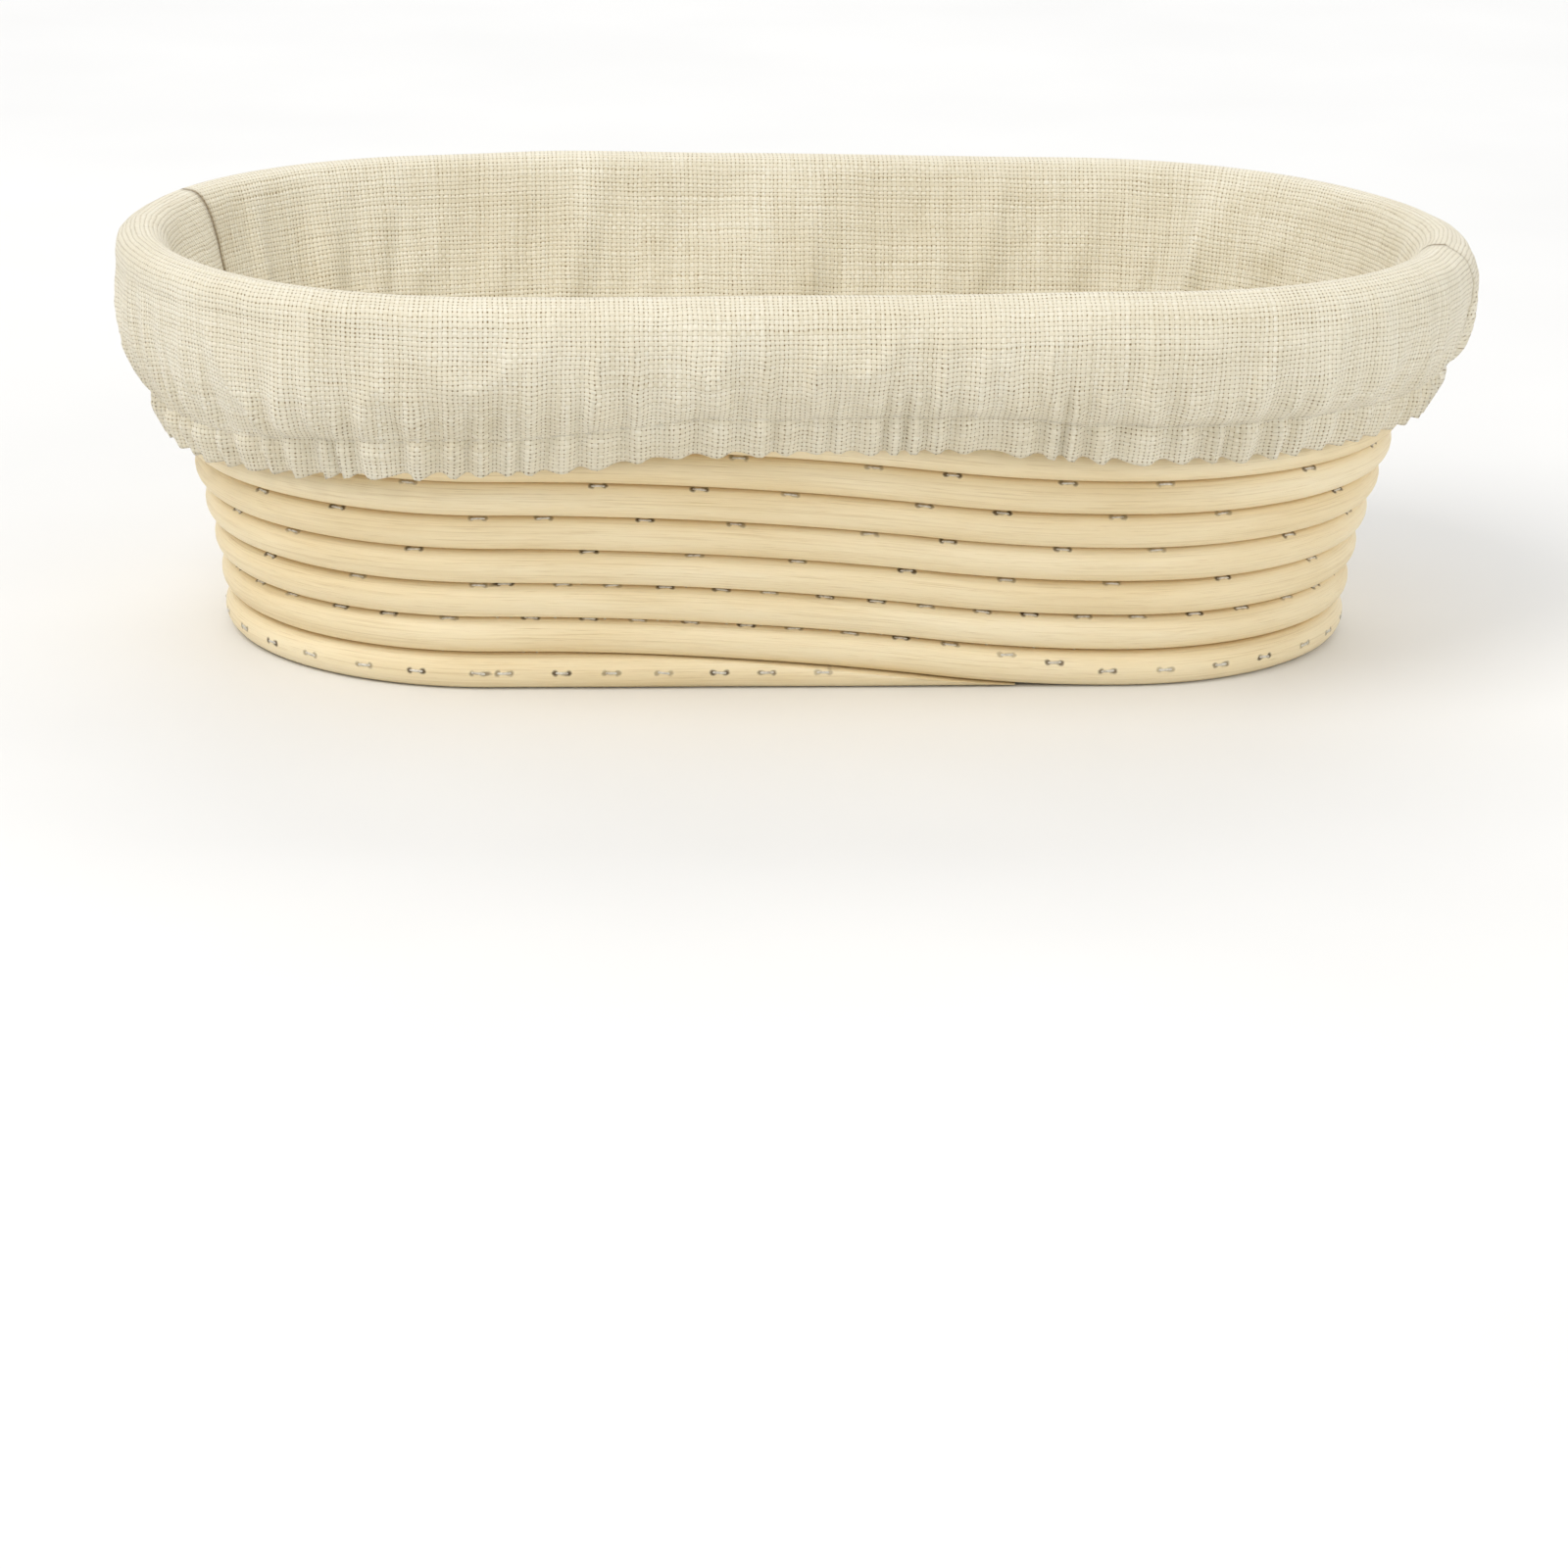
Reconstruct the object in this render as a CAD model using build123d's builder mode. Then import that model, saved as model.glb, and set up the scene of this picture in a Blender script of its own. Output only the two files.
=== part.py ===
from build123d import *
from math import atan, cos, exp, radians, sin
import os

# Oval proofing basket: one rattan coil winds flat for the base and then climbs as the
# wall, each turn stapled to the one before it, under a lift-off elasticated cloth liner.
# Millimetres. X runs along the oval, Z is up, and the basket stands on Z = 0 with the
# origin at the middle of its underside.

# ---- driving dimensions: rattan coil ----
cane_diameter = 7.1
turn_spacing = 7.2              # centre to centre of neighbouring turns
straight_half = 58.5            # half of the straight side; the end bends centre here
base_turns = 5                  # turns lying flat, outside the two core strips
wall_turns = 11                 # turns standing on each other, the first on the floor
sanded_depth = 0.25             # how much of the underside is sanded to a flat
first_lean = 5.0                # outward lean in degrees of the first wall step
top_lean = 18.5                 # lean that the wall reaches near the rim
lean_growth = 2.0               # steps over which the wall takes up its lean
climb_share = 0.3               # share of a climb taken by its tighter first arc
skive_tip = 0.6                 # thickness at the thin end of a skived cane
skive_clearance = 0.06
splice_length = 30.0            # length of the slanted scarf between two canes
splice_places = [(4, -20.0), (6, 25.0), (8, -5.0), (10, 38.0)]   # (wall turn, x)
wedge_reach = 1.2               # how far a scarf's cut passes the cane, in cane radii

# ---- driving dimensions: staples ----
staple_crown = 3.0
staple_leg = 12.0
staple_wire = 0.5
bend_slots = 14                 # places for a staple round each end bend
straight_slots = 12             # and along each straight
low_turns = 2                   # the lowest wall turns, stapled most closely
slots_apart_low = 1             # every slot is used on the low turns
slots_apart_high = 2
slots_apart_base = 4
early_slot = 0.25               # turns start at different slots, so that their staples
late_slot = 0.75                # pass between those of the turn before
wander_low = 0.05               # unevenness of the hand stapling, in slots
wander_high = 0.3
wander_beat = 2.4
climb_place = 3                 # where the climb comes among the stretches of a turn
core_end_margin = 3.0           # no staples in the ends of the core strips
groove_angle = 64.0             # where a crown sits, above the cane's outer side
skived_staple_x = 6.0           # how far staples follow the skived start past the middle

# ---- driving dimensions: liner ----
cloth = 1.0                     # thickness of the woven cloth
first_lined_turn = 3            # lowest wall turn that the side cloth follows
cloth_gap = 0.4                 # from cloth to cane
slack = 0.3                     # more room under the floor panel and the hem
rim_roll = 5.9                  # radius of the cloth's outer turn over the rim
rim_middle = 45.0               # degrees, middle of the cloth's inner turn over the rim
skirt_drop = [(5.5, 12.0), (3.4, 20.5), (-1.0, 25.5)]   # (out from rim turn, below it)
hem_height = 46.5               # middle of the hem channel above the floor
hem_width = 9.0
hem_thickness = 3.0
elastic_width = 6.0
elastic_thickness = 1.0
thread = 0.6
left_seam_angle = 28.0          # side cloth's left end seam, towards the back
right_seam_angle = -20.0        # and its right one, towards the front

# ---- derived dimensions ----
cane_radius = cane_diameter / 2
floor_height = cane_radius - sanded_depth
core_offset = turn_spacing / 2
foot_radius = core_offset + (base_turns + 1) * turn_spacing
first_arc = climb_share * ((2 * straight_half) ** 2 + turn_spacing ** 2) / (2 * turn_spacing)
last_arc = first_arc * (1 - climb_share) / climb_share
climb_slope = 2 * atan(turn_spacing / (2 * straight_half))
liner_floor_height = floor_height + cane_radius + slack
liner_floor_radius = foot_radius - cane_radius - cloth_gap - cloth

os.makedirs("parts", exist_ok=True)


# ---- where the turns run ----
def lean(step):
    """Outward lean, in degrees, of the step from one wall level to the next."""
    return top_lean - (top_lean - first_lean) * exp(-step / lean_growth)


def base_centre(turn):
    """Radius and height of a flat turn: 0 is the core strips, then 1 to base_turns."""
    return core_offset + turn * turn_spacing, floor_height


def wall_centre(turn):
    """Radius and height of a wall turn: 1 is the foot, wall_turns is the rim."""
    leans = [radians(lean(step)) for step in range(turn - 1)]
    radius = foot_radius + turn_spacing * sum(sin(angle) for angle in leans)
    height = floor_height + turn_spacing * sum(cos(angle) for angle in leans)
    return radius, height


rim_radius, rim_height = wall_centre(wall_turns)


def step_plane(lower, upper):
    """Plane on the front side through a turn's centre line: X along, Y up one step."""
    (lower_r, lower_z), (upper_r, upper_z) = lower, upper
    step = Vector(0, lower_r - upper_r, upper_z - lower_z)
    return Plane(
        origin=(0, -lower_r, lower_z), x_dir=(1, 0, 0), z_dir=Vector(1, 0, 0).cross(step)
    )


def climb_arcs(shift=0.0):
    """Climb of one step, in its step plane: two arcs that leave and arrive level."""
    start = (straight_half, shift)
    end = (-straight_half, shift + turn_spacing)
    joint = (
        straight_half - 2 * straight_half * climb_share,
        shift + turn_spacing * climb_share,
    )
    TangentArc(start, joint, tangent=(-1, 0))
    TangentArc(end, joint, tangent=(1, 0))


def climb(lower, upper):
    """Centre line along the front, from the end of one turn up to the next."""
    with BuildLine(mode=Mode.PRIVATE) as line:
        climb_arcs()
    plane = step_plane(lower, upper)
    return [plane.from_local_coords(edge) for edge in line.edges()]


def coil_route(centre, first, first_x, last, last_x):
    """Centre line from x = first_x at the back of one turn to last_x in a later one."""
    route = []
    for turn in range(first, last + 1):
        radius, height = centre(turn)
        back_start = first_x if turn == first else -straight_half
        back_end = last_x if turn == last else straight_half
        route.append(Edge.make_line((back_start, radius, height), (back_end, radius, height)))
        if turn < last:
            route += right_bend(centre(turn))
            route += climb(centre(turn), centre(turn + 1))
            route += left_bend(centre(turn + 1))
    return route


def right_bend(centre):
    """Half turn round the right end, from the back to the front."""
    radius, height = centre
    with BuildLine(mode=Mode.PRIVATE) as line:
        CenterArc((straight_half, 0, height), radius, 90, -180)
    return line.edges()


def left_bend(centre):
    """Half turn round the left end, from the front to the back."""
    radius, height = centre
    with BuildLine(mode=Mode.PRIVATE) as line:
        CenterArc((-straight_half, 0, height), radius, -90, -180)
    return line.edges()


def cane_section(start, direction):
    """Round section of the cane, square to its run."""
    with BuildSketch(Plane(origin=start, z_dir=direction)) as section:
        Circle(cane_radius)
    return section.sketch


def beside_climb(lower, upper, above):
    """What lies beside the cane that climbs from one turn to the next, on one side."""
    side = 1 if above else -1
    shift = -side * (cane_radius / cos(climb_slope) + skive_clearance)
    far = turn_spacing if above else 0.0
    with BuildSketch(step_plane(lower, upper)) as area:
        with BuildLine():
            climb_arcs(shift)
            Polyline(
                (-straight_half, shift + turn_spacing),
                (-straight_half - turn_spacing, shift + turn_spacing),
                (-straight_half - turn_spacing, far),
                (straight_half + turn_spacing, far),
                (straight_half + turn_spacing, shift),
                (straight_half, shift),
            )
        make_face()
    return area.sketch


def scarf_wedge(centre, x, outer):
    """Wedge cut from a cane's end at the back, so that two ends lie on each other."""
    radius, height = centre
    side = 1 if outer else -1
    half = splice_length / 2
    reach = cane_radius * wedge_reach
    with BuildSketch(Plane.XY.offset(height)) as wedge:
        with BuildLine():
            Polyline(
                (x - half, radius - reach),
                (x + half, radius + reach),
                (x - side * half, radius + side * reach),
                close=True,
            )
        make_face()
    return wedge.sketch


def sand_underside():
    """Sand the underside flat, so that the basket stands without rocking."""
    reach = 2 * (straight_half + foot_radius + turn_spacing)
    with BuildSketch(Plane.XY) as ground:
        Rectangle(reach, reach)
    extrude(ground.sketch, amount=-cane_radius, mode=Mode.SUBTRACT)


# ---- base: two core strips and a flat coil round them ----
with BuildPart() as core_strips:
    for side in (-1, 1):
        start = Vector(-straight_half, side * core_offset, floor_height)
        extrude(cane_section(start, (1, 0, 0)), amount=2 * straight_half)
    sand_underside()

start_tip = straight_half - (2 * first_arc * (skive_tip + skive_clearance)) ** 0.5
end_tip = -straight_half + (2 * last_arc * (skive_tip + skive_clearance)) ** 0.5


def add_skived_start(first, second):
    """First length of a coil, thinned along the front under the climb that follows."""
    radius, height = first
    tip = Vector(start_tip, -radius, height)
    extrude(cane_section(tip, (-1, 0, 0)), amount=start_tip + straight_half)
    cut = beside_climb(first, second, above=True)
    extrude(cut, amount=cane_diameter, both=True, mode=Mode.SUBTRACT)


def add_skived_end(before, last):
    """Last length of a coil, thinned along the front over the climb that ends there."""
    radius, height = last
    tip = Vector(end_tip, -radius, height)
    extrude(cane_section(tip, (1, 0, 0)), amount=straight_half - end_tip)
    cut = beside_climb(before, last, above=False)
    extrude(cut, amount=cane_diameter, both=True, mode=Mode.SUBTRACT)


def add_run(route):
    """Sweep the cane along one length of the coil."""
    path = Wire(route)
    sweep(cane_section(path @ 0, path % 0), path=path)


with BuildPart() as base_coil:
    add_skived_start(base_centre(1), base_centre(2))
    add_skived_end(base_centre(base_turns - 1), base_centre(base_turns))
    whole = coil_route(base_centre, 1, -straight_half, base_turns, straight_half)
    add_run(left_bend(base_centre(1)) + whole + right_bend(base_centre(base_turns)))
    sand_underside()

# ---- wall: five canes, spliced end to end along the back ----
wall_canes = []
ends = [None] + splice_places + [None]
for number, (begin, finish) in enumerate(zip(ends, ends[1:]), start=1):
    half = splice_length / 2
    first, first_x = (begin[0], begin[1] - half) if begin else (1, -straight_half)
    last, last_x = (finish[0], finish[1] + half) if finish else (wall_turns, straight_half)
    route = coil_route(wall_centre, first, first_x, last, last_x)
    if not begin:
        route = left_bend(wall_centre(1)) + route
    if not finish:
        route = route + right_bend(wall_centre(wall_turns))
    with BuildPart() as cane:
        if not begin:
            add_skived_start(wall_centre(1), wall_centre(2))
        if not finish:
            add_skived_end(wall_centre(wall_turns - 1), wall_centre(wall_turns))
        add_run(route)
        if begin:
            wedge = scarf_wedge(wall_centre(first), begin[1], outer=True)
            extrude(wedge, amount=cane_radius, both=True, mode=Mode.SUBTRACT)
        if finish:
            wedge = scarf_wedge(wall_centre(last), finish[1], outer=False)
            extrude(wedge, amount=cane_radius, both=True, mode=Mode.SUBTRACT)
        if number == 1:
            sand_underside()
    wall_canes.append(cane)


# ---- staples ----
def staple_body():
    """One U of flat wire, its crown along X at the origin and its legs down -Z."""
    with BuildPart(mode=Mode.PRIVATE) as staple:
        with BuildSketch(Plane.XZ):
            with Locations((0, -staple_leg / 2)):
                Rectangle(staple_crown, staple_leg)
            with Locations((0, -staple_leg / 2 - staple_wire)):
                Rectangle(staple_crown - 2 * staple_wire, staple_leg, mode=Mode.SUBTRACT)
        extrude(amount=staple_wire / 2, both=True)
    return staple.part


one_staple = staple_body()


def slot_shares(slots, apart, offset, wander):
    """Shares of a stretch at which staples go, each a little out of its slot."""
    places = range(slots // apart)
    return [(apart * i + offset + wander * sin(wander_beat * i)) / slots for i in places]


def staple_planes(stretch, shares, aim, below_lean, sunk):
    """Planes for a row of staples: each origin on the cane's skin, Z out of the cane."""
    path = Wire(stretch)
    planes = []
    for share in shares:
        along = path.tangent_at(share)
        centre = path.position_at(share)
        outward = Vector(0, 0, 1).cross(along).normalized()
        up = Vector(0, 0, 1) * cos(below_lean) + outward * sin(below_lean)
        across = outward * cos(below_lean) - Vector(0, 0, 1) * sin(below_lean)
        angle, drop = aim(centre)
        rise = cane_radius - sunk
        crown = centre + across * (rise * cos(angle)) + up * (rise * sin(angle))
        target = centre - up * (turn_spacing * drop) - outward * (turn_spacing * (1 - drop))
        planes.append(Plane(origin=crown, x_dir=along, z_dir=crown - target))
    return planes


def aim_level(centre):
    """Crown on the cane's outer side, legs straight into the turn inside it."""
    return 0.0, 0.0


def aim_down(centre):
    """Crown in the groove above the cane, legs down into the turn below it."""
    return radians(groove_angle), 1.0


def aim_foot(centre):
    """Level round the foot; as the cane climbs, the crown rises and the legs tip down."""
    if centre.Y > -foot_radius or centre.Z < floor_height + skive_clearance:
        return 0.0, 0.0
    run = 2 * straight_half * climb_share
    climbed = (centre.Z - floor_height) / turn_spacing
    return radians(groove_angle) * min(1.0, (straight_half - centre.X) / run), climbed


def turn_stretches(centre, turn, last):
    """Stretches of one turn, from its left bend to its climb, with their slots."""
    radius, height = centre(turn)
    back = [Edge.make_line((-straight_half, radius, height), (straight_half, radius, height))]
    stretches = [(left_bend(centre(turn)), bend_slots), (back, straight_slots)]
    stretches.append((right_bend(centre(turn)), bend_slots))
    if turn < last:
        stretches.append((climb(centre(turn), centre(turn + 1)), straight_slots))
    return stretches


def front_planes(centre, turn, offset, apart, below_lean, aim):
    """Staples along a level front, where a coil starts or ends."""
    radius, height = centre(turn)
    front = [Edge.make_line((straight_half, -radius, height), (-straight_half, -radius, height))]
    shares = slot_shares(straight_slots, apart, offset, wander_low)
    return staple_planes(front, shares, aim, below_lean, staple_wire / 2)


def wall_turn_planes(turn):
    """Staples of one wall turn, with the thick part of a skived end where there is one."""
    low = turn <= low_turns
    apart = slots_apart_low if low else slots_apart_high
    if low:
        offset = early_slot if turn == 1 else late_slot
    else:
        offset = early_slot + (turn + 1) % 2
    wander = wander_low if turn <= low_turns + 1 else wander_high
    below = radians(lean(turn - 2)) if turn > 1 else 0.0
    aim = aim_foot if turn == 1 else aim_down
    planes = []
    for stretch, slots in turn_stretches(wall_centre, turn, wall_turns):
        shares = slot_shares(slots, apart, offset, wander)
        planes += staple_planes(stretch, shares, aim, below, staple_wire / 2)
    if turn == 1:
        lead = front_planes(wall_centre, turn, late_slot, apart, below, aim_level)
        planes += [plane for plane in lead if plane.origin.X < skived_staple_x]
    if turn == wall_turns:
        tail = front_planes(wall_centre, turn, offset, apart, below, aim)
        planes += [plane for plane in tail if plane.origin.X > -skived_staple_x]
    return planes


def base_turn_planes(turn):
    """Staples of one flat turn."""
    planes = []
    shift = slots_apart_base / 2 * (turn % 2)
    stretches = turn_stretches(base_centre, turn, base_turns)
    for place, (stretch, slots) in enumerate(stretches):
        offset = shift + (early_slot if place == climb_place else late_slot)
        shares = slot_shares(slots, slots_apart_base, offset, wander_low)
        planes += staple_planes(stretch, shares, aim_level, 0.0, staple_wire)
    if turn == 1:
        reach = straight_half - core_end_margin
        planes = [plane for plane in planes if abs(plane.origin.X) < reach]
    return planes


with BuildPart() as base_staples:
    planes = []
    for turn in range(1, base_turns + 1):
        planes += base_turn_planes(turn)
    with Locations(*planes):
        add(one_staple)

wall_staples = []
for turn in range(1, wall_turns + 1):
    with BuildPart() as group:
        with Locations(*wall_turn_planes(turn)):
            add(one_staple)
    wall_staples.append(group)


# ---- liner ----
def oval_path():
    """Closed oval at floor level that the liner's sections are carried round."""
    with BuildLine(mode=Mode.PRIVATE) as line:
        Line((straight_half, -foot_radius), (-straight_half, -foot_radius))
        CenterArc((-straight_half, 0), foot_radius, -90, -180)
        Line((-straight_half, foot_radius), (straight_half, foot_radius))
        CenterArc((straight_half, 0), foot_radius, 90, -180)
    return Wire(line.edges())


section_plane = Plane(origin=(straight_half, 0, 0), x_dir=(0, -1, 0), z_dir=(-1, 0, 0))
around = oval_path()


def off_the_wall(turn, distance):
    """Point beside a wall turn, square to the wall; negative is inside the basket."""
    radius, height = wall_centre(turn)
    angle = radians(lean(turn - 1))
    return radius + distance * cos(angle), height - distance * sin(angle)


def hem_centre():
    """Middle of the hem channel, lying against the outside of the wall."""
    distance = cane_radius + cloth_gap + hem_thickness / 2 + slack
    angle = radians(top_lean)
    lower = max(t for t in range(1, wall_turns) if wall_centre(t)[1] < hem_height)
    radius, height = wall_centre(lower)
    height_above = hem_height - height
    return radius + height_above * sin(angle) / cos(angle) + distance / cos(angle), hem_height


inside = -(cane_radius + cloth_gap)
wall_line = [(liner_floor_radius + cloth, liner_floor_height)]
wall_line += [off_the_wall(turn, inside) for turn in range(first_lined_turn, wall_turns + 1)]
skirt_line = [(rim_radius + out, rim_height - down) for out, down in skirt_drop]
roll_top = rim_height + cane_radius + cloth_gap
roll_side = (rim_radius + rim_roll, roll_top - rim_roll)

with BuildPart() as liner_floor:
    with BuildSketch(Plane.XY.offset(liner_floor_height)):
        SlotCenterToCenter(2 * straight_half, 2 * liner_floor_radius)
    extrude(amount=cloth)

def seam_direction(side, angle):
    """Way out from the centre of an end bend to the end seam there."""
    return Vector(side * cos(radians(angle)), sin(radians(angle)), 0)


left_out = seam_direction(-1, left_seam_angle)
right_out = seam_direction(1, right_seam_angle)


def side_panel(y_far):
    """Side cloth on the front or the back of the two end seams."""
    reach = 2 * foot_radius
    left, right = Vector(-straight_half, 0, 0), Vector(straight_half, 0, 0)
    with BuildPart() as panel:
        with BuildSketch(section_plane) as side_section:
            with BuildLine():
                Polyline(*wall_line)
                ThreePointArc(
                    wall_line[-1],
                    (
                        rim_radius + inside * sin(radians(rim_middle)),
                        rim_height - inside * sin(radians(rim_middle)),
                    ),
                    (rim_radius, roll_top),
                )
                JernArc((rim_radius, roll_top), (1, 0), rim_roll, -90)
                Polyline(roll_side, *skirt_line, hem_centre())
                offset(amount=cloth, side=Side.LEFT)
            make_face()
            with Locations(hem_centre()):
                SlotOverall(hem_width, hem_thickness, rotation=90 - top_lean)
                Rectangle(
                    elastic_thickness, elastic_width, rotation=-top_lean, mode=Mode.SUBTRACT
                )
        sweep(side_section.sketch, path=around)
        with BuildSketch(Plane.XY) as half:
            with BuildLine():
                Polyline(
                    left,
                    left + left_out * reach,
                    (-straight_half - reach, y_far),
                    (straight_half + reach, y_far),
                    right + right_out * reach,
                    right,
                    close=True,
                )
            make_face()
        extrude(half.sketch, amount=reach, mode=Mode.INTERSECT)
    return panel


liner_side_front = side_panel(-2 * foot_radius)
liner_side_back = side_panel(2 * foot_radius)

with BuildPart() as hem_elastic:
    with BuildSketch(section_plane):
        with Locations(hem_centre()):
            Rectangle(elastic_thickness, elastic_width, rotation=-top_lean)
    sweep(path=around)

with BuildPart() as hem_stitching:
    with BuildSketch(section_plane):
        hem_r, hem_z = hem_centre()
        tilt = radians(top_lean)
        stitch_up = elastic_width / 2 + thread / 2
        stitch_out = hem_thickness / 2
        with Locations(
            (
                hem_r + stitch_up * sin(tilt) + stitch_out * cos(tilt),
                hem_z + stitch_up * cos(tilt) - stitch_out * sin(tilt),
            )
        ):
            Circle(thread / 2)
    sweep(path=around)

with BuildPart() as floor_seam_stitching:
    with BuildSketch(section_plane):
        with Locations((liner_floor_radius, liner_floor_height + cloth)):
            Circle(thread / 2)
    sweep(path=around)

seam_line = [(r - cloth, z) for r, z in wall_line[1:]]
with BuildPart() as end_seam_stitching:
    for side, out in ((-1, left_out), (1, right_out)):
        end_plane = Plane(
            origin=(side * straight_half, 0, 0), x_dir=out, z_dir=out.cross(Vector(0, 0, 1))
        )
        with BuildSketch(end_plane) as seam_section:
            with BuildLine():
                Polyline(*seam_line)
                offset(amount=thread, side=Side.LEFT)
            make_face()
        extrude(seam_section.sketch, amount=thread / 2, both=True)

# ---- label and write every piece ----
pieces = {
    "base_core_strips": core_strips,
    "base_coil": base_coil,
    "base_staples": base_staples,
    "liner_floor": liner_floor,
    "liner_side_front": liner_side_front,
    "liner_side_back": liner_side_back,
    "hem_elastic": hem_elastic,
    "hem_stitching": hem_stitching,
    "floor_seam_stitching": floor_seam_stitching,
    "end_seam_stitching": end_seam_stitching,
}
for number, cane in enumerate(wall_canes, start=1):
    pieces[f"wall_cane_{number}"] = cane
for turn, group in enumerate(wall_staples, start=1):
    pieces[f"wall_staples_turn_{turn:02d}"] = group

for name, piece in pieces.items():
    piece.part.label = name
    export_step(piece.part, f"parts/{name}.step")
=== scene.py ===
import bpy
import random
from functools import partialmethod
from math import cos, exp, pi, radians, sin
import numpy as np
from mathutils import Matrix, Vector, noise


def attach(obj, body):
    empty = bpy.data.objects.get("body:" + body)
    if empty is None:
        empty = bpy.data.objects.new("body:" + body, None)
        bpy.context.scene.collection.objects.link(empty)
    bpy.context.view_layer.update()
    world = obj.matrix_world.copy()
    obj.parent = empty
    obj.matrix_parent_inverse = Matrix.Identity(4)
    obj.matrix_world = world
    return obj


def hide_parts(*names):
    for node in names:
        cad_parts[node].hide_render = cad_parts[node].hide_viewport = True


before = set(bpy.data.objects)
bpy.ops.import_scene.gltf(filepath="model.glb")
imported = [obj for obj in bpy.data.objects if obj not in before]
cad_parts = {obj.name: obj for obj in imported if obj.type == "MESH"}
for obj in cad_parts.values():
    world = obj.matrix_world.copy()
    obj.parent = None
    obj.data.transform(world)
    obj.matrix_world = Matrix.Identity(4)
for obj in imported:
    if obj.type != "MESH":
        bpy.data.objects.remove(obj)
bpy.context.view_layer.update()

# An oval proofing basket. The rattan coil, its staples and the cloth liner are built here
# in millimetres and made into meshes in metres. The basket stands on Z = 0.
MM = 0.001
VERTICAL = np.array([0, 0, 1.0])
rng = random.Random(7)


def joined(*parts):
    """Arrays or numbers put together along a new last axis."""
    return np.stack(np.broadcast_arrays(*parts), axis=-1)


# ---- coil, as in the CAD model ----
TURN_GAP = 7.2
HALF_RUN = 58.5
CORE_OFFSET = TURN_GAP / 2
BASE_TURNS = 5
WALL_TURNS = 11
FLOOR_HEIGHT = 3.3
FOOT_RADIUS = CORE_OFFSET + (BASE_TURNS + 1) * TURN_GAP
FIRST_LEAN, TOP_LEAN, LEAN_GROWTH = 5.0, 18.5, 2.0
CLIMB_SHARE = 0.3
SPLICE_LENGTH, WEDGE_REACH, SCARF_GAP = 30.0, 1.2, 0.04
SPLICE_PLACES = [(4, -20.0), (6, 25.0), (8, -5.0), (10, 38.0)]
SKIVE_START_TIP, SKIVE_END_TIP = 39.0, -28.8
GROOVE_ANGLE = 64.0
BEND_SLOTS, STRAIGHT_SLOTS = 14, 12
EARLY_SLOT, LATE_SLOT = 0.25, 0.75
WANDER_LOW, WANDER_HIGH, WANDER_BEAT = 0.05, 0.3, 2.4
BASE_APART = 4
CORE_END_MARGIN = 3.0
SKIVED_STAPLE_X = 6.0
CLOSE_TURNS, STEADY_TURNS = 2, 3
CLIMB_BEGUN = 0.06  # rise above which the foot has left the base

# ---- look of the cane ----
CANE_RADIUS = 3.64
CONTACT_HALF = 3.585  # turns press each other flat to this half height
RING_STEP = 1.5
SEGMENTS = 24
TURN_APART_WEIGHT = 4.5  # keeps a staple's mark on its own turn
SKIVE_TOUCH = 0.985  # how close a thinned cane lies to the climb beside it
SKIVE_SLACK, SCARF_SLACK, SAME_HEIGHT = 1, 0.5, 0.01
THINNEST_SQUARED = 0.02  # least half width of a thinned cane, squared
DRIFT_WAVE, FACET_WAVE, WANDER_WAVE = 34, 30, 26
DRIFT, FACET, WANDER = 0.05, 0.07, 0.10
GRAIN_APART = 17.0  # keeps the grain of one length unlike the next
GROOVE_SHADE_FROM = 0.86  # share of the half height at which the painted groove shade begins
NO_MARK = 9.0  # stands for a staple far away
# Strength of the dark mark at each staple, painted shade of its leg holes with some rust stain.
MARK_LEAST, MARK_MORE, MARK_BEAT = 0.72, 0.28, 1.9

# ---- staples ----
STAPLE_CROWN, STAPLE_LEG, STAPLE_WIRE = 3.0, 12.0, 0.5
STAPLE_SUNK, BASE_STAPLE_SUNK = 0.12, 0.6
STAPLE_SIDES, STAPLE_CORNER, STAPLE_TILT = 8, 0.35, 0.12
STAPLE_BOW = 0.06  # how far the crown's middle stands above its shoulders

# ---- liner ----
CLOTH = 0.55  # thickness of the cloth
WALL_GAP = 4.35  # from a turn's centre line to the middle of the cloth
OUTSIDE_GAP = 4.6  # and the least, level, from there to the skirt outside
COLUMN_STEP = 0.9
THREAD_APART = 0.86  # spacing of the weave
THREAD = 0.42  # thickness of the sewing thread
THREAD_SIDES, THREAD_TAPER = 6, 0.6
STITCH, STITCH_SPACE, STITCH_START, BESIDE_SEAM = 2.7, 0.7, 0.8, 1.6
STITCH_RISE = np.array([-0.15, 0.6, 1.0, 1.0, 0.6, -0.15])
WALL_STITCH_LIFT, FLOOR_STITCH_LIFT = 0.33, 0.38


# ---- coil geometry ----
def lean(step):
    return TOP_LEAN - (TOP_LEAN - FIRST_LEAN) * exp(-step / LEAN_GROWTH)


def base_centre(turn):
    return CORE_OFFSET + turn * TURN_GAP, FLOOR_HEIGHT


def wall_centre(turn):
    leans = [radians(lean(step)) for step in range(turn - 1)]
    radius = FOOT_RADIUS + TURN_GAP * sum(sin(a) for a in leans)
    height = FLOOR_HEIGHT + TURN_GAP * sum(cos(a) for a in leans)
    return radius, height


WALL = np.array([wall_centre(turn) for turn in range(1, WALL_TURNS + 1)])
WALL_LEANS = np.radians([lean(max(turn - 0.5, 0)) for turn in range(WALL_TURNS)])


def climbed(x):
    """Share of one step that the climb along the front has risen at x."""
    t = np.clip((HALF_RUN - x) / (2 * HALF_RUN), 0, 1)
    early = t * t / CLIMB_SHARE
    late = 1 - (1 - t) ** 2 / (1 - CLIMB_SHARE)
    return np.where(t < CLIMB_SHARE, early, late)


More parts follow.
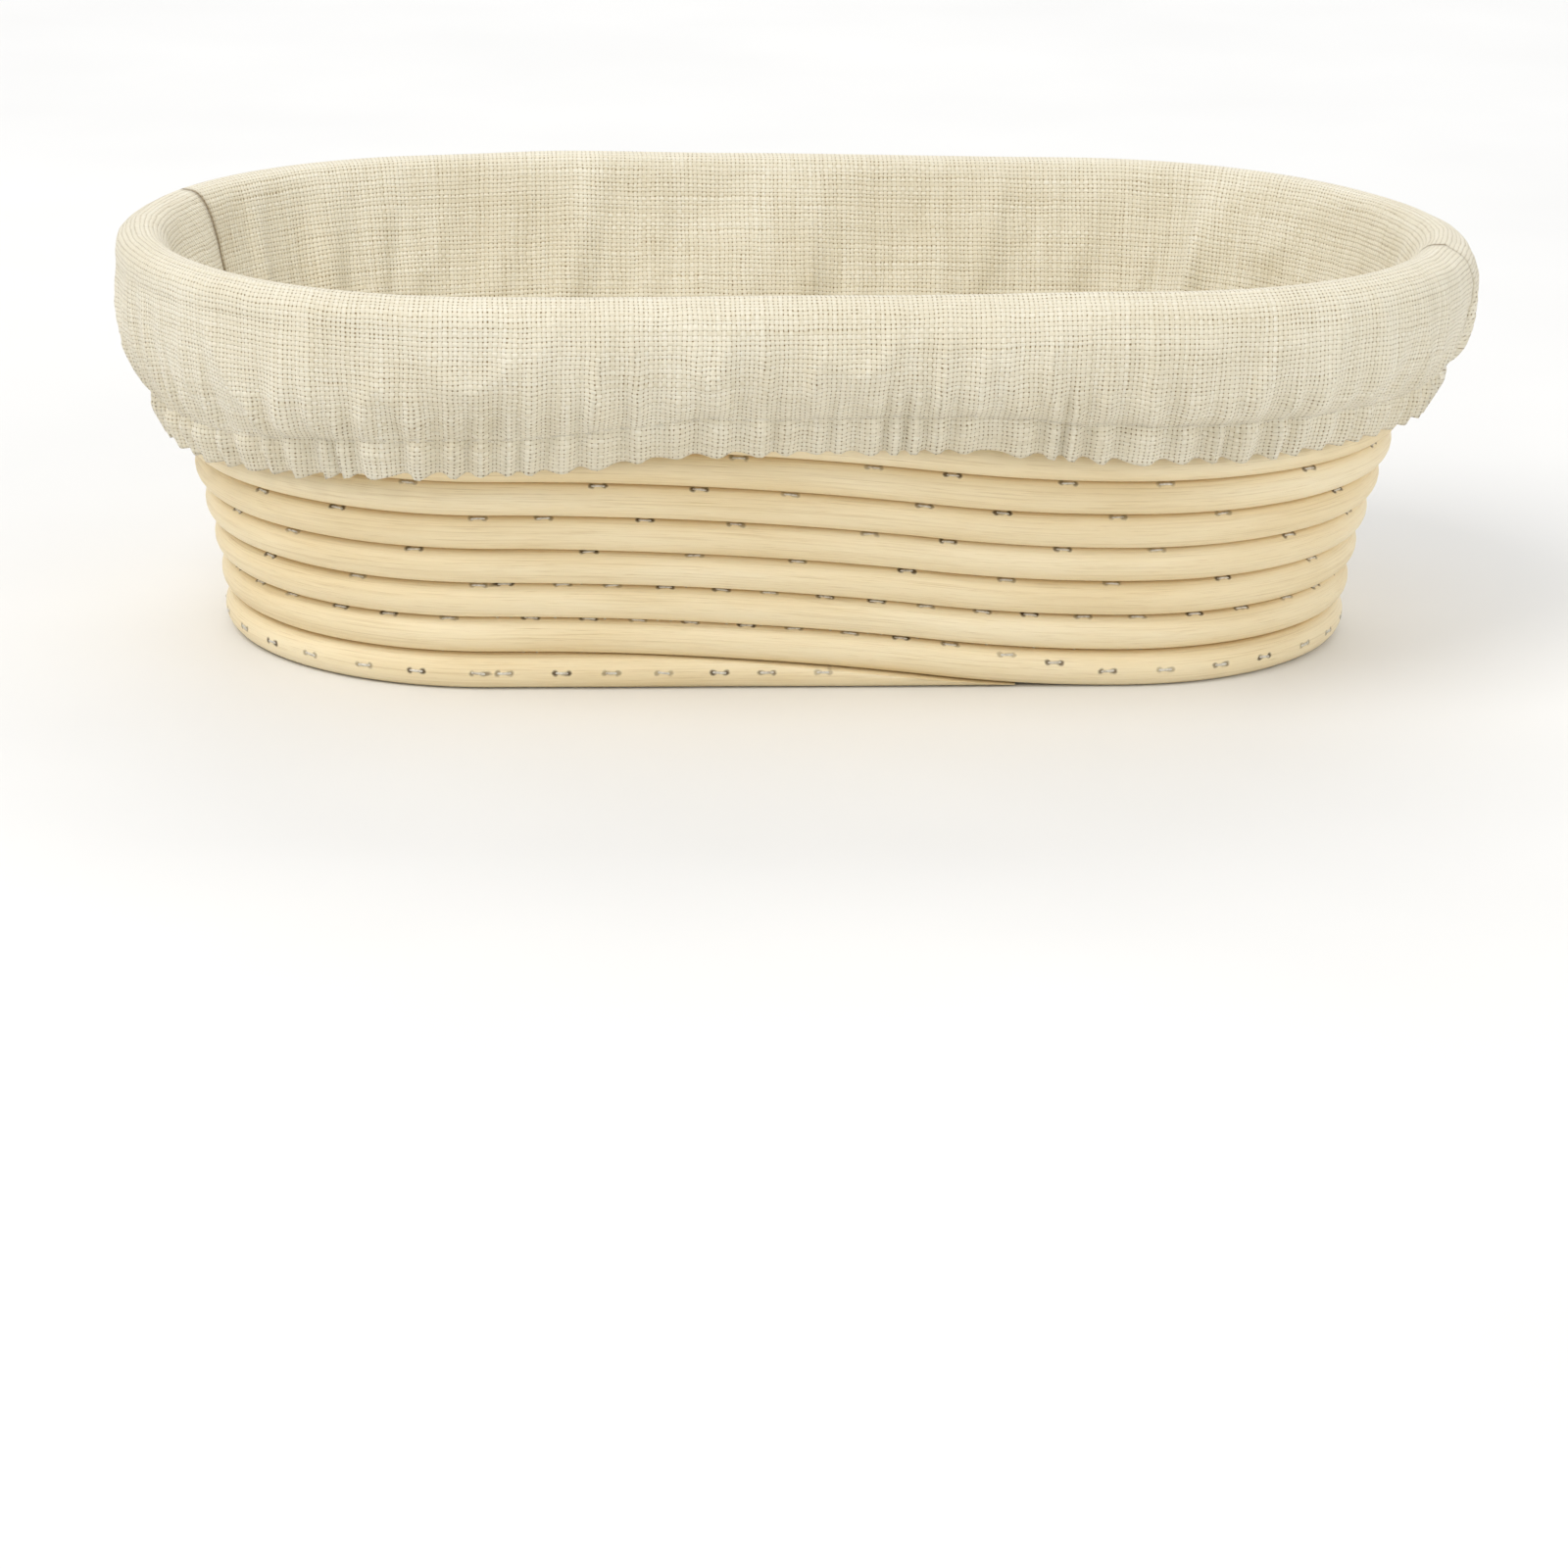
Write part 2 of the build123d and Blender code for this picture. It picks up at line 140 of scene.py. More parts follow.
def straight_run(y, z, x_from, x_to):
    x = np.linspace(x_from, x_to, max(2, int(abs(x_to - x_from))))
    return joined(x, y, z)


def bend(centre, side):
    """Half turn round one end, clockwise seen from above; side is 1 at the right."""
    radius, height = centre
    angle = np.radians(np.linspace(90, -90, max(8, int(pi * radius))))
    x = side * (HALF_RUN + radius * np.cos(angle))
    return joined(x, side * radius * np.sin(angle), height)


def climb(lower, upper):
    x = np.linspace(HALF_RUN, -HALF_RUN, int(2 * HALF_RUN))
    share = climbed(x)
    radius = lower[0] + (upper[0] - lower[0]) * share
    height = lower[1] + (upper[1] - lower[1]) * share
    return joined(x, -radius, height)


def coil(centre, first, first_x, last, last_x):
    """Runs of the centre line from first_x at the back of one turn to last_x in another."""
    runs = []
    for turn in range(first, last + 1):
        radius, height = centre(turn)
        start = first_x if turn == first else -HALF_RUN
        end = last_x if turn == last else HALF_RUN
        runs.append(straight_run(radius, height, start, end))
        if turn < last:
            runs.append(bend(centre(turn), 1))
            runs.append(climb(centre(turn), centre(turn + 1)))
            runs.append(bend(centre(turn + 1), -1))
    return runs


def lead_in(centre):
    """Start of a coil, from the thinned tip at the front round the left end."""
    radius, height = centre(1)
    return [straight_run(-radius, height, SKIVE_START_TIP, -HALF_RUN), bend(centre(1), -1)]


def lead_out(centre, last):
    """End of a coil, round the right end to the thinned tip at the front."""
    radius, height = centre(last)
    return [bend(centre(last), 1), straight_run(-radius, height, HALF_RUN, SKIVE_END_TIP)]


def points_at(at, along, points):
    """Points at some distances along a line."""
    return np.stack([np.interp(at, along, points[:, k]) for k in range(3)], axis=1)


def even(runs, step):
    """One evenly spaced line through several runs, and the distance along it."""
    points = np.concatenate(runs)
    gaps = np.linalg.norm(np.diff(points, axis=0), axis=1)
    points = points[np.concatenate([[True], gaps > 1e-6])]
    along = np.concatenate([[0], np.cumsum(np.linalg.norm(np.diff(points, axis=0), axis=1))])
    count = max(2, int(round(along[-1] / step)) + 1)
    at = np.linspace(0, along[-1], count)
    return points_at(at, along, points), at


def unit(vectors):
    return vectors / np.linalg.norm(vectors, axis=-1, keepdims=True)


def section_axes(points, flat):
    """Outward and up directions of the section at each point of a cane."""
    tangent = unit(np.gradient(points, axis=0))
    outward = unit(joined(-tangent[:, 1], tangent[:, 0], 0.0))
    if flat:
        tilt = np.full(len(points), pi / 2)
    else:
        tilt = np.interp(points[:, 2], WALL[:, 1], WALL_LEANS)
    across = outward * np.cos(tilt)[:, None] - VERTICAL * np.sin(tilt)[:, None]
    return across, np.cross(tangent, across)


# ---- meshes ----
def build_mesh(name, verts, quads, extra=(), smooth=True):
    mesh = bpy.data.meshes.new(name)
    faces = np.asarray(quads).tolist() + list(extra)
    mesh.from_pydata((np.reshape(verts, (-1, 3)) * MM).tolist(), [], faces)
    mesh.update()
    if smooth:
        mesh.polygons.foreach_set("use_smooth", [True] * len(mesh.polygons))
    piece = bpy.data.objects.new(name, mesh)
    bpy.context.collection.objects.link(piece)
    return piece


def grid_quads(rows, columns, start=0, closed=False):
    """Quads of a grid of rows by columns; closed joins the last column to the first."""
    across = columns if closed else columns - 1
    i, j = np.meshgrid(np.arange(rows - 1), np.arange(across), indexing="ij")
    near, far = i * columns + j, i * columns + (j + 1) % columns
    return joined(near, far, far + columns, near + columns).reshape(-1, 4) + start


def add_values(piece, name, values):
    """Stores a number, or a vector, for each vertex of a grid."""
    kind, field = ("FLOAT_VECTOR", "vector") if values.ndim == 3 else ("FLOAT", "value")
    layer = piece.data.attributes.new(name, kind, "POINT")
    layer.data.foreach_set(field, np.asarray(values, dtype=np.float32).ravel())


def lay_flat(piece, places):
    """Stores where each vertex lies on the cloth before it was sewn, for the weave."""
    layer = piece.data.uv_layers.new(name="flat")
    loops = np.empty(len(piece.data.loops), dtype=np.int32)
    piece.data.loops.foreach_get("vertex_index", loops)
    layer.data.foreach_set("uv", (places * MM)[loops].astype(np.float32).ravel())


def dress(piece, material, node, body="liner"):
    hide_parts(node)
    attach(piece, body)
    piece.data.materials.append(material)


def smooth_noise(x, y, z):
    """Noise between -1 and 1 at each of several places."""
    flat = np.broadcast_arrays(x, y, z)
    shape = flat[0].shape
    places = zip(*(f.ravel().tolist() for f in flat))
    return np.array([noise.noise((a, b, c)) for a, b, c in places]).reshape(shape)


# ---- staples ----
def slot_shares(slots, apart, offset, wander):
    """Where a stretch's staples are, as shares of its length, a little unevenly."""
    numbers = range(slots // apart)
    return [(apart * i + offset + wander * sin(WANDER_BEAT * i)) / slots for i in numbers]


def staple_rows(run, shares, aim, below_lean, sunk):
    """Staples along one stretch: cane centre, crown, tangent, legs and way out of each."""
    points, _ = even([run], 0.5)
    rows = []
    for share in shares:
        spot = share * (len(points) - 1)
        at = min(max(int(spot), 1), len(points) - 2)
        centre = points[at] + (points[at + 1] - points[at]) * (spot - at)
        along = unit(points[at + 1] - points[at - 1])
        outward = unit(np.array([-along[1], along[0], 0.0]))
        up = VERTICAL * cos(below_lean) + outward * sin(below_lean)
        across = outward * cos(below_lean) - VERTICAL * sin(below_lean)
        angle, drop = aim(centre)
        direction = across * cos(angle) + up * sin(angle)
        target = centre - up * (TURN_GAP * drop) - outward * (TURN_GAP * (1 - drop))
        crown = centre + direction * (CANE_RADIUS - sunk)
        rows.append((centre, crown, along, unit(target - crown), direction))
    return rows


def aim_level(centre):
    return 0.0, 0.0


def aim_down(centre):
    return radians(GROOVE_ANGLE), 1.0


def aim_foot(centre):
    if centre[1] > -FOOT_RADIUS or centre[2] < FLOOR_HEIGHT + CLIMB_BEGUN:
        return 0.0, 0.0
    run = 2 * HALF_RUN * CLIMB_SHARE
    rise = (centre[2] - FLOOR_HEIGHT) / TURN_GAP
    return radians(GROOVE_ANGLE) * min(1.0, (HALF_RUN - centre[0]) / run), rise


def turn_stretches(centre, turn, last):
    radius, height = centre(turn)
    stretches = [(bend(centre(turn), -1), BEND_SLOTS),
                 (straight_run(radius, height, -HALF_RUN, HALF_RUN), STRAIGHT_SLOTS),
                 (bend(centre(turn), 1), BEND_SLOTS)]
    if turn < last:
        stretches.append((climb(centre(turn), centre(turn + 1)), STRAIGHT_SLOTS))
    return stretches


def wall_staples(turn):
    radius, height = wall_centre(turn)
    if turn <= CLOSE_TURNS:
        apart, offset = 1, EARLY_SLOT if turn == 1 else LATE_SLOT
    else:
        apart, offset = 2, EARLY_SLOT + (turn + 1) % 2
    wander = WANDER_LOW if turn <= STEADY_TURNS else WANDER_HIGH
    below = radians(lean(turn - 2)) if turn > 1 else 0.0
    aim = aim_foot if turn == 1 else aim_down
    rows = []
    for run, slots in turn_stretches(wall_centre, turn, WALL_TURNS):
        rows += staple_rows(run, slot_shares(slots, apart, offset, wander), aim, below, STAPLE_SUNK)
    front = straight_run(-radius, height, HALF_RUN, -HALF_RUN)
    if turn == 1:
        shares = slot_shares(STRAIGHT_SLOTS, apart, LATE_SLOT, WANDER_LOW)
        found = staple_rows(front, shares, aim_level, below, STAPLE_SUNK)
        rows += [row for row in found if row[1][0] < SKIVED_STAPLE_X]
    if turn == WALL_TURNS:
        shares = slot_shares(STRAIGHT_SLOTS, apart, offset, WANDER_LOW)
        found = staple_rows(front, shares, aim, below, STAPLE_SUNK)
        rows += [row for row in found if row[1][0] > -SKIVED_STAPLE_X]
    return rows


def base_staples():
    rows = []
    for turn in range(1, BASE_TURNS + 1):
        found = []
        for index, (run, slots) in enumerate(turn_stretches(base_centre, turn, BASE_TURNS)):
            offset = BASE_APART / 2 * (turn % 2) + (LATE_SLOT if index < 3 else EARLY_SLOT)
            shares = slot_shares(slots, BASE_APART, offset, WANDER_LOW)
            found += staple_rows(run, shares, aim_level, 0.0, BASE_STAPLE_SUNK)
        inside = HALF_RUN - CORE_END_MARGIN
        rows += [row for row in found if turn > 1 or abs(row[1][0]) < inside]
    return rows


def add_wire(parts, line, normal, other, radius, sides):
    """Adds a round wire along a line, with flat ends, to the (verts, quads, caps) of a mesh."""
    verts, quads, caps = parts
    angle = np.linspace(0, 2 * pi, sides, endpoint=False)
    ring = normal[:, None] * np.cos(angle)[None, :, None]
    ring = ring + other[:, None] * np.sin(angle)[None, :, None]
    start = len(verts)
    verts.extend((line[:, None] + ring * radius).reshape(-1, 3))
    quads.extend(grid_quads(len(line), sides, start, closed=True))
    caps.append([start + i for i in reversed(range(sides))])
    caps.append([start + (len(line) - 1) * sides + i for i in range(sides)])


def staple_mesh(name, rows, node):
    """Bent round wire: a slightly bowed crown with rounded shoulders, and two legs."""
    half = STAPLE_CROWN / 2 - STAPLE_WIRE / 2
    shape = [(-half, -STAPLE_LEG + 0.3), (-half, -2.0), (-half, -STAPLE_CORNER)]
    shape += [(-half + 0.12, -0.1), (-half + STAPLE_CORNER, 0.0), (0.0, STAPLE_BOW)]
    shape += [(-x, y) for x, y in reversed(shape[:-1])]
    shape = np.array(shape)
    parts = [], [], []
    for _, crown, along, legs, _ in rows:
        side = unit(np.cross(along, legs))
        tilt = rng.uniform(-STAPLE_TILT, STAPLE_TILT)
        lie = along * cos(tilt) + side * sin(tilt)
        line = crown + lie * shape[:, :1] - legs * shape[:, 1:]
        tangent = unit(np.gradient(line, axis=0))
        normal = unit(np.cross(tangent, np.cross(lie, legs)))
        add_wire(parts, line, normal, np.cross(tangent, normal), STAPLE_WIRE / 2, STAPLE_SIDES)
    dress(build_mesh(name, *parts), STAPLE_STEEL, node, "basket")


# ---- materials ----
class Looks:
    """A material's node tree, with ways to add nodes and feed their sockets."""

    def __init__(self, name):
        self.material = bpy.data.materials.new(name)
        self.material.use_nodes = True
        self.tree = self.material.node_tree

    def feed(self, sockets, values):
        """Links each named socket to another socket, or gives it a number or a tuple."""
        for name, value in values.items():
            socket = sockets[name]
            if isinstance(value, bpy.types.NodeSocket):
                self.tree.links.new(value, socket)
            elif isinstance(value, tuple) and socket.type == "RGBA":
                socket.default_value = (*value, 1)
            else:
                socket.default_value = value

    def add(self, kind, inputs, output=0, **settings):
        node = self.tree.nodes.new("ShaderNode" + kind)
        for name, value in settings.items():
            setattr(node, name, value)
        self.feed(node.inputs, inputs)
        return node.outputs[output]

    def attribute(self, name, kind):
        return self.add("Attribute", {}, kind, attribute_name=name)

    def shade(self, **inputs):
        """Feeds the surface shader; an underscore stands for a space in a socket's name."""
        shader = self.tree.nodes["Principled BSDF"]
        self.feed(shader.inputs, {name.replace("_", " "): value for name, value in inputs.items()})
        return self.material

    def maths(self, operation, *values):
        return self.add("Math", dict(enumerate(values)), operation=operation)

    times = partialmethod(maths, "MULTIPLY")
    plus = partialmethod(maths, "ADD")
    minus = partialmethod(maths, "SUBTRACT")

    def mix(self, factor, first, second, blend="MULTIPLY"):
        """Two colours mixed, or multiplied."""
        sockets = {0: factor, 6: first, 7: second}
        return self.add("Mix", sockets, 2, data_type="RGBA", blend_type=blend)

    def choose(self, factor, first, second):
        return self.add("Mix", {0: factor, 2: first, 3: second})

    def ramp(self, value, stops):
        """Colour ramp from (position, (r, g, b)) stops."""
        node = self.tree.nodes.new("ShaderNodeValToRGB")
        elements = node.color_ramp.elements
        for index, (position, colour) in enumerate(stops):
            element = elements[index] if index < 2 else elements.new(position)
            element.position, element.color = position, (*colour, 1)
        self.feed(node.inputs, {0: value})
        return node.outputs[0]

    def noise(self, vector, scale, detail=3.0, roughness=0.55):
        inputs = {"Vector": vector, "Scale": scale, "Detail": detail, "Roughness": roughness}
        return self.add("TexNoise", inputs, "Fac")

    def streaks(self, vector, scales, detail=3.0, roughness=0.55):
        """Noise with its own scale along each axis."""
        stretched = self.add("Mapping", {"Vector": vector, "Scale": scales})
        return self.noise(stretched, 1.0, detail, roughness)

    def split(self, vector):
        node = self.tree.nodes.new("ShaderNodeSeparateXYZ")
        self.feed(node.inputs, {0: vector})
        return node.outputs

    def between(self, value, low, high):
        return self.add("MapRange", {"Value": value, "To Min": low, "To Max": high})

    def bump(self, height, strength, distance):
        return self.add("Bump", {"Height": height, "Strength": strength, "Distance": distance})


# Colours are linear (red, green, blue), and stops are (noise value, colour).
WHITE = (1.0, 1.0, 1.0)
GRAIN_LONG, GRAIN_FINE, GRAIN_PATCH = (2.6, 2.6, 0.035), (7.5, 7.5, 0.12), (0.12, 0.12, 0.02)
CANE_STOPS = [(0.30, (0.822, 0.672, 0.408)), (0.50, (0.868, 0.732, 0.474)),
              (0.72, (0.898, 0.782, 0.542))]
FIBRE_STOPS = [(0.30, (0.78, 0.72, 0.62)), (0.48, WHITE), (0.75, WHITE)]
FINE_STOPS = [(0.28, (0.66, 0.56, 0.42)), (0.44, WHITE), (0.8, WHITE)]
FIBRE_SHOW = 0.55
# Painted shade: the first colour is the tan in the grooves between turns; the second is the dark brown
# at the staples' leg holes, painted shade of the holes with some rust stain.
GROOVE_SHADE_TAN, STAIN_AND_SHADE_BROWN = (0.86, 0.73, 0.54), (0.120, 0.085, 0.045)
STAIN_AND_SHADE_AT = 1.25  # the marks, painted shade of the leg holes with some rust stain, are at the crown's two shoulders
STAIN_AND_SHADE_EDGE, STAIN_AND_SHADE_FULL = 0.36, -0.02
STAIN_AND_SHADE_WOBBLE, STAIN_AND_SHADE_WOBBLE_SCALES = 0.7, (1.2, 1.2, 0.7)
STEEL_STOPS = [(0.35, (0.74, 0.71, 0.64)), (0.55, (0.62, 0.58, 0.50)), (0.74, (0.36, 0.28, 0.20))]
LINEN_STOPS = [(0.30, (0.738, 0.675, 0.522)), (0.50, (0.825, 0.768, 0.620)),
               (0.70, (0.885, 0.840, 0.708))]
PATCH_STOPS = [(0.32, (0.92, 0.90, 0.86)), (0.68, WHITE)]
WEAVE_STOPS = [(0.0, (0.86, 0.83, 0.77)), (0.30, (0.97, 0.965, 0.95)), (0.6, WHITE)]
HOLE_STOPS = [(0.02, (0.32, 0.25, 0.16)), (0.28, WHITE), (1.0, WHITE)]
# Painted shade along each end seam of the liner.
SEAM_SHADE_BROWN = (0.36, 0.29, 0.20)
SLUB_ACROSS, SLUB_ALONG = 1150, (26, 22)
WARP_SLUB, WEFT_SLUB = 2.3, 2.6  # how far uneven threads push the weave aside
THREAD_ROUND = 0.4  # how fast a thread dips under the next
THREAD_STOPS = [(0.35, (0.56, 0.50, 0.38)), (0.62, (0.78, 0.73, 0.61))]
RIB_RATE, KNIT_SCALES = 6000.0, (1500, 300, 1)
ELASTIC_STOPS = [(0.3, (0.70, 0.69, 0.66)), (0.7, (0.85, 0.84, 0.80))]


def rattan_material():
    """Peeled rattan core: long pale fibres, painted shade in the grooves, and dark marks at staples that
    are painted shade of the leg holes with some rust stain.
    """
    look = Looks("rattan")
    grain = look.attribute("grain", "Vector")
    fibres = look.streaks(grain, GRAIN_LONG, 4.0, 0.6)
    fine = look.streaks(grain, GRAIN_FINE, 3.0, 0.65)
    body = look.ramp(look.streaks(grain, GRAIN_PATCH, 3.0, 0.5), CANE_STOPS)
    colour = look.mix(FIBRE_SHOW, body, look.ramp(fibres, FIBRE_STOPS))
    colour = look.mix(FIBRE_SHOW, colour, look.ramp(fine, FINE_STOPS))
    # Painted shade: tan where the turns meet in the grooves.
    groove_shade = look.attribute("groove_shade", "Fac")
    colour = look.mix(groove_shade, colour, GROOVE_SHADE_TAN)
    # Painted shade of the staples' leg holes, with some rust stain: dark brown at each crown's two
    # shoulders.
    marks = look.split(look.attribute("staple_at", "Vector"))
    foot = look.minus(marks[0], STAIN_AND_SHADE_AT)
    near = look.maths("SQRT", look.plus(look.times(foot, foot), look.times(marks[1], marks[1])))
    wobble = look.streaks(grain, STAIN_AND_SHADE_WOBBLE_SCALES, 2.0)
    near = look.minus(near, look.times(wobble, STAIN_AND_SHADE_WOBBLE))
    stain_and_shade = look.add("MapRange", {"Value": near, "From Min": STAIN_AND_SHADE_EDGE, "From Max": STAIN_AND_SHADE_FULL})
    strength = look.times(stain_and_shade, marks[2])
    colour = look.mix(strength, colour, STAIN_AND_SHADE_BROWN, "MIX")
    height = look.plus(look.times(fibres, 0.7), fine)
    dent = look.minus(height, look.times(strength, 1.2))
    return look.shade(Base_Color=colour, Roughness=look.between(fibres, 0.40, 0.62),
                       Normal=look.bump(dent, 0.35, 0.00022), Specular_IOR_Level=0.42,
                       Subsurface_Weight=0.06, Subsurface_Radius=(0.0012, 0.0007, 0.0004))


def steel_material():
    """Galvanised wire, dull, with brown spots."""
    look = Looks("staple_steel")
    spots = look.noise(look.add("TexCoord", {}, "Object"), 1400.0, 3.0, 0.6)
    return look.shade(Base_Color=look.ramp(spots, STEEL_STOPS), Roughness=look.between(spots, 0.28, 0.6),
                       Normal=look.bump(spots, 0.2, 0.00005), Metallic=0.55)


def linen_material():
    """Coarse plain weave: threads pass over and under, uneven in thickness and shade."""
    look = Looks("linen")
    place = look.add("UVMap", {}, uv_map="flat")
    drift = look.add("TexNoise", {"Vector": place, "Scale": 120.0, "Detail": 3.0}, "Color")
    crooked = {0: drift, 1: (0.0009, 0.0009, 0.0), 2: place}
    moved = look.split(look.add("VectorMath", crooked, operation="MULTIPLY_ADD"))
    per_metre = pi / (THREAD_APART * MM)
    warp_slub = look.streaks(place, (SLUB_ACROSS, SLUB_ALONG[0], 1), 2.0)
    weft_slub = look.streaks(place, (SLUB_ALONG[1], SLUB_ACROSS, 1), 2.0)
    warp = look.plus(look.times(moved[0], per_metre), look.times(warp_slub, WARP_SLUB))
    weft = look.plus(look.times(moved[1], per_metre), look.times(weft_slub, WEFT_SLUB))
    warp, weft = look.maths("SINE", warp), look.maths("SINE", weft)
    a, b = look.maths("ABSOLUTE", warp), look.maths("ABSOLUTE", weft)
    over = look.maths("GREATER_THAN", look.times(warp, weft), 0.0)
    along_warp = look.times(a, look.maths("POWER", b, THREAD_ROUND))
    along_weft = look.times(b, look.maths("POWER", a, THREAD_ROUND))
    weave = look.choose(over, along_weft, along_warp)
    slub = look.choose(over, weft_slub, warp_slub)
    patches = look.noise(place, 38.0, 4.0, 0.55)
    colour = look.mix(1.0, look.ramp(slub, LINEN_STOPS), look.ramp(patches, PATCH_STOPS))
    colour = look.mix(1.0, colour, look.ramp(weave, WEAVE_STOPS))
    loose = look.times(look.noise(place, 420.0, 2.0), 0.42)
    edge = look.minus(look.maths("MAXIMUM", a, b), loose)
    colour = look.mix(1.0, colour, look.ramp(edge, HOLE_STOPS))
    # Painted shade: a dark line along each end seam, weaker outside.
    seam = look.attribute("seam", "Fac")
    colour = look.mix(seam, colour, SEAM_SHADE_BROWN)
    height = look.times(weave, look.plus(slub, 0.45))
    fuzz = look.times(look.noise(place, 5200.0, 2.0), 0.25)
    return look.shade(Base_Color=colour, Roughness=0.88, Specular_IOR_Level=0.2,
                       Normal=look.bump(look.plus(height, fuzz), 0.55, 0.00030),
                       Sheen_Weight=0.25, Sheen_Roughness=0.5,
                       Subsurface_Weight=0.08, Subsurface_Radius=(0.0015, 0.0012, 0.0009))


def thread_material():
    """Twisted sewing thread."""
    look = Looks("thread")
    twist = look.noise(look.add("TexCoord", {}, "Object"), 3500.0, 2.0)
    return look.shade(Base_Color=look.ramp(twist, THREAD_STOPS), Roughness=0.8,
                       Normal=look.bump(twist, 0.4, 0.0001))


def elastic_material():
    """Knitted elastic band with lengthwise ribs."""
    look = Looks("elastic")
    flat = look.add("UVMap", {}, uv_map="flat")
    ribs = look.maths("SINE", look.times(look.split(flat)[1], RIB_RATE))
    knit = look.streaks(flat, KNIT_SCALES, 2.0)
    return look.shade(Base_Color=look.ramp(knit, ELASTIC_STOPS), Roughness=0.7,
                       Normal=look.bump(look.plus(ribs, knit), 0.4, 0.0002))


RATTAN = rattan_material()
STAPLE_STEEL = steel_material()
LINEN = linen_material()
THREAD_STUFF = thread_material()
ELASTIC = elastic_material()


# ---- canes ----
def cane_mesh(name, runs, node, staples, flat, seed, clips=()):
    """One length of cane: a slightly uneven tube, pressed flat where turns meet."""
    points, along = even(runs, RING_STEP)
    across, up = section_axes(points, flat)
    angle = np.linspace(0, 2 * pi, SEGMENTS, endpoint=False)
    cosine, sine = np.cos(angle), np.sin(angle)
    drift = smooth_noise(along / DRIFT_WAVE, seed * 3.1, 0.5)[:, None]
    facet = smooth_noise(cosine[None] * 0.9 + seed, sine[None] * 0.9, along[:, None] / FACET_WAVE)
    radius = CANE_RADIUS + DRIFT * drift + FACET * facet
    wander = WANDER * smooth_noise(along / WANDER_WAVE, 7.7, seed * 1.7)[:, None]
    out = radius * cosine + wander
    rise = np.clip(radius * sine, -CONTACT_HALF, CONTACT_HALF)
    for clip in clips:
        out, rise = clip(points, out, rise)
    ring = points[:, None] + across[:, None] * out[..., None] + up[:, None] * rise[..., None]
    ring[..., 2] = np.maximum(ring[..., 2], 0.0)
    rings = len(points)
    caps = [list(range(SEGMENTS)), [(rings - 1) * SEGMENTS + i for i in reversed(range(SEGMENTS))]]
    quads = grid_quads(rings, SEGMENTS, closed=True)[:, ::-1]
    piece = build_mesh(name, ring, quads, caps)
    add_values(piece, "grain", joined(out + GRAIN_APART * seed, rise, along[:, None]))
    # Painted shade in the grooves, where the section nears the turns above and below.
    groove_shade_mask = np.clip((np.abs(sine) - GROOVE_SHADE_FROM) / (1 - GROOVE_SHADE_FROM), 0, 1) ** 1.5
    add_values(piece, "groove_shade", np.broadcast_to(groove_shade_mask, out.shape))
    add_values(piece, "staple_at", staple_marks(ring, staples))
    dress(piece, RATTAN, node, "basket")


def staple_marks(ring, staples):
    """For each vertex, how far it is along and around from the nearest crown, and its mark."""
    marks = np.full(ring.shape, NO_MARK)
    if not staples:
        return marks
    middle = ring.mean(axis=1)
    centres = np.array([row[0] for row in staples])
    weight = np.array([1.0, 1.0, TURN_APART_WEIGHT])
    nearest = np.array([np.argmin(np.sum(((centres - m) * weight) ** 2, axis=1)) for m in middle])
    crowns = np.array([row[1] for row in staples])[nearest]
    along = np.array([row[2] for row in staples])[nearest]
    around = np.array([np.cross(row[2], row[4]) for row in staples])[nearest]
    offset = ring - crowns[:, None]
    marks[..., 0] = np.abs(np.einsum("rsk,rk->rs", offset, along))
    marks[..., 1] = np.einsum("rsk,rk->rs", offset, around)
    marks[..., 2] = (MARK_LEAST + MARK_MORE * np.sin(nearest * MARK_BEAT))[:, None]
    return marks


def cut_section(across, along, line, beyond):
    """Moves what lies beyond a straight cut through the round section onto the cut."""
    line = np.clip(line, -CANE_RADIUS, CANE_RADIUS)
    half = np.sqrt(np.maximum(CANE_RADIUS ** 2 - line ** 2, THINNEST_SQUARED))
    across = np.where(beyond, line, across)
    return across, np.where(beyond, np.clip(along, -half, half), along)


def skive_clip(at_start=False, at_end=False):
    """Thins a coil's first cane under the climb that follows, or its last over one."""
    def clip(points, out, rise):
        ring = np.arange(len(points))
        front = (points[:, 1] < 0) & (np.abs(points[:, 0]) <= HALF_RUN)
        share = climbed(points[:, 0])[:, None] * TURN_GAP
        if at_start:
            lead = front & (ring * RING_STEP <= SKIVE_START_TIP + HALF_RUN + SKIVE_SLACK)
            under = share - CANE_RADIUS * SKIVE_TOUCH
            rise, out = cut_section(rise, out, under, lead[:, None] & (rise > under))
        if at_end:
            reach = HALF_RUN - SKIVE_END_TIP + SKIVE_SLACK
            tail = front & ((len(points) - ring) * RING_STEP <= reach)
            over = share - TURN_GAP + CANE_RADIUS * SKIVE_TOUCH
            rise, out = cut_section(rise, out, over, tail[:, None] & (rise < over))
        return out, rise
    return clip


def scarf_clip(begin, finish):
    """Cuts both ends of a length on the slant, so that it lies on its neighbours."""
    def clip(points, out, rise):
        for splice, sign in ((begin, 1), (finish, -1)):
            if splice is None:
                continue
            height = wall_centre(splice[0])[1]
            here = (points[:, 1] > 0) & (np.abs(points[:, 2] - height) < SAME_HEIGHT)
            here &= np.abs(points[:, 0] - splice[1]) <= SPLICE_LENGTH / 2 + SCARF_SLACK
            line = (points[:, 0] - splice[1]) / (SPLICE_LENGTH / 2) * CANE_RADIUS * WEDGE_REACH
            line = line[:, None] - sign * SCARF_GAP
            beyond = here[:, None] & (out * sign > line * sign)
            out, rise = cut_section(out, rise, line, beyond)
        return out, rise
    return clip


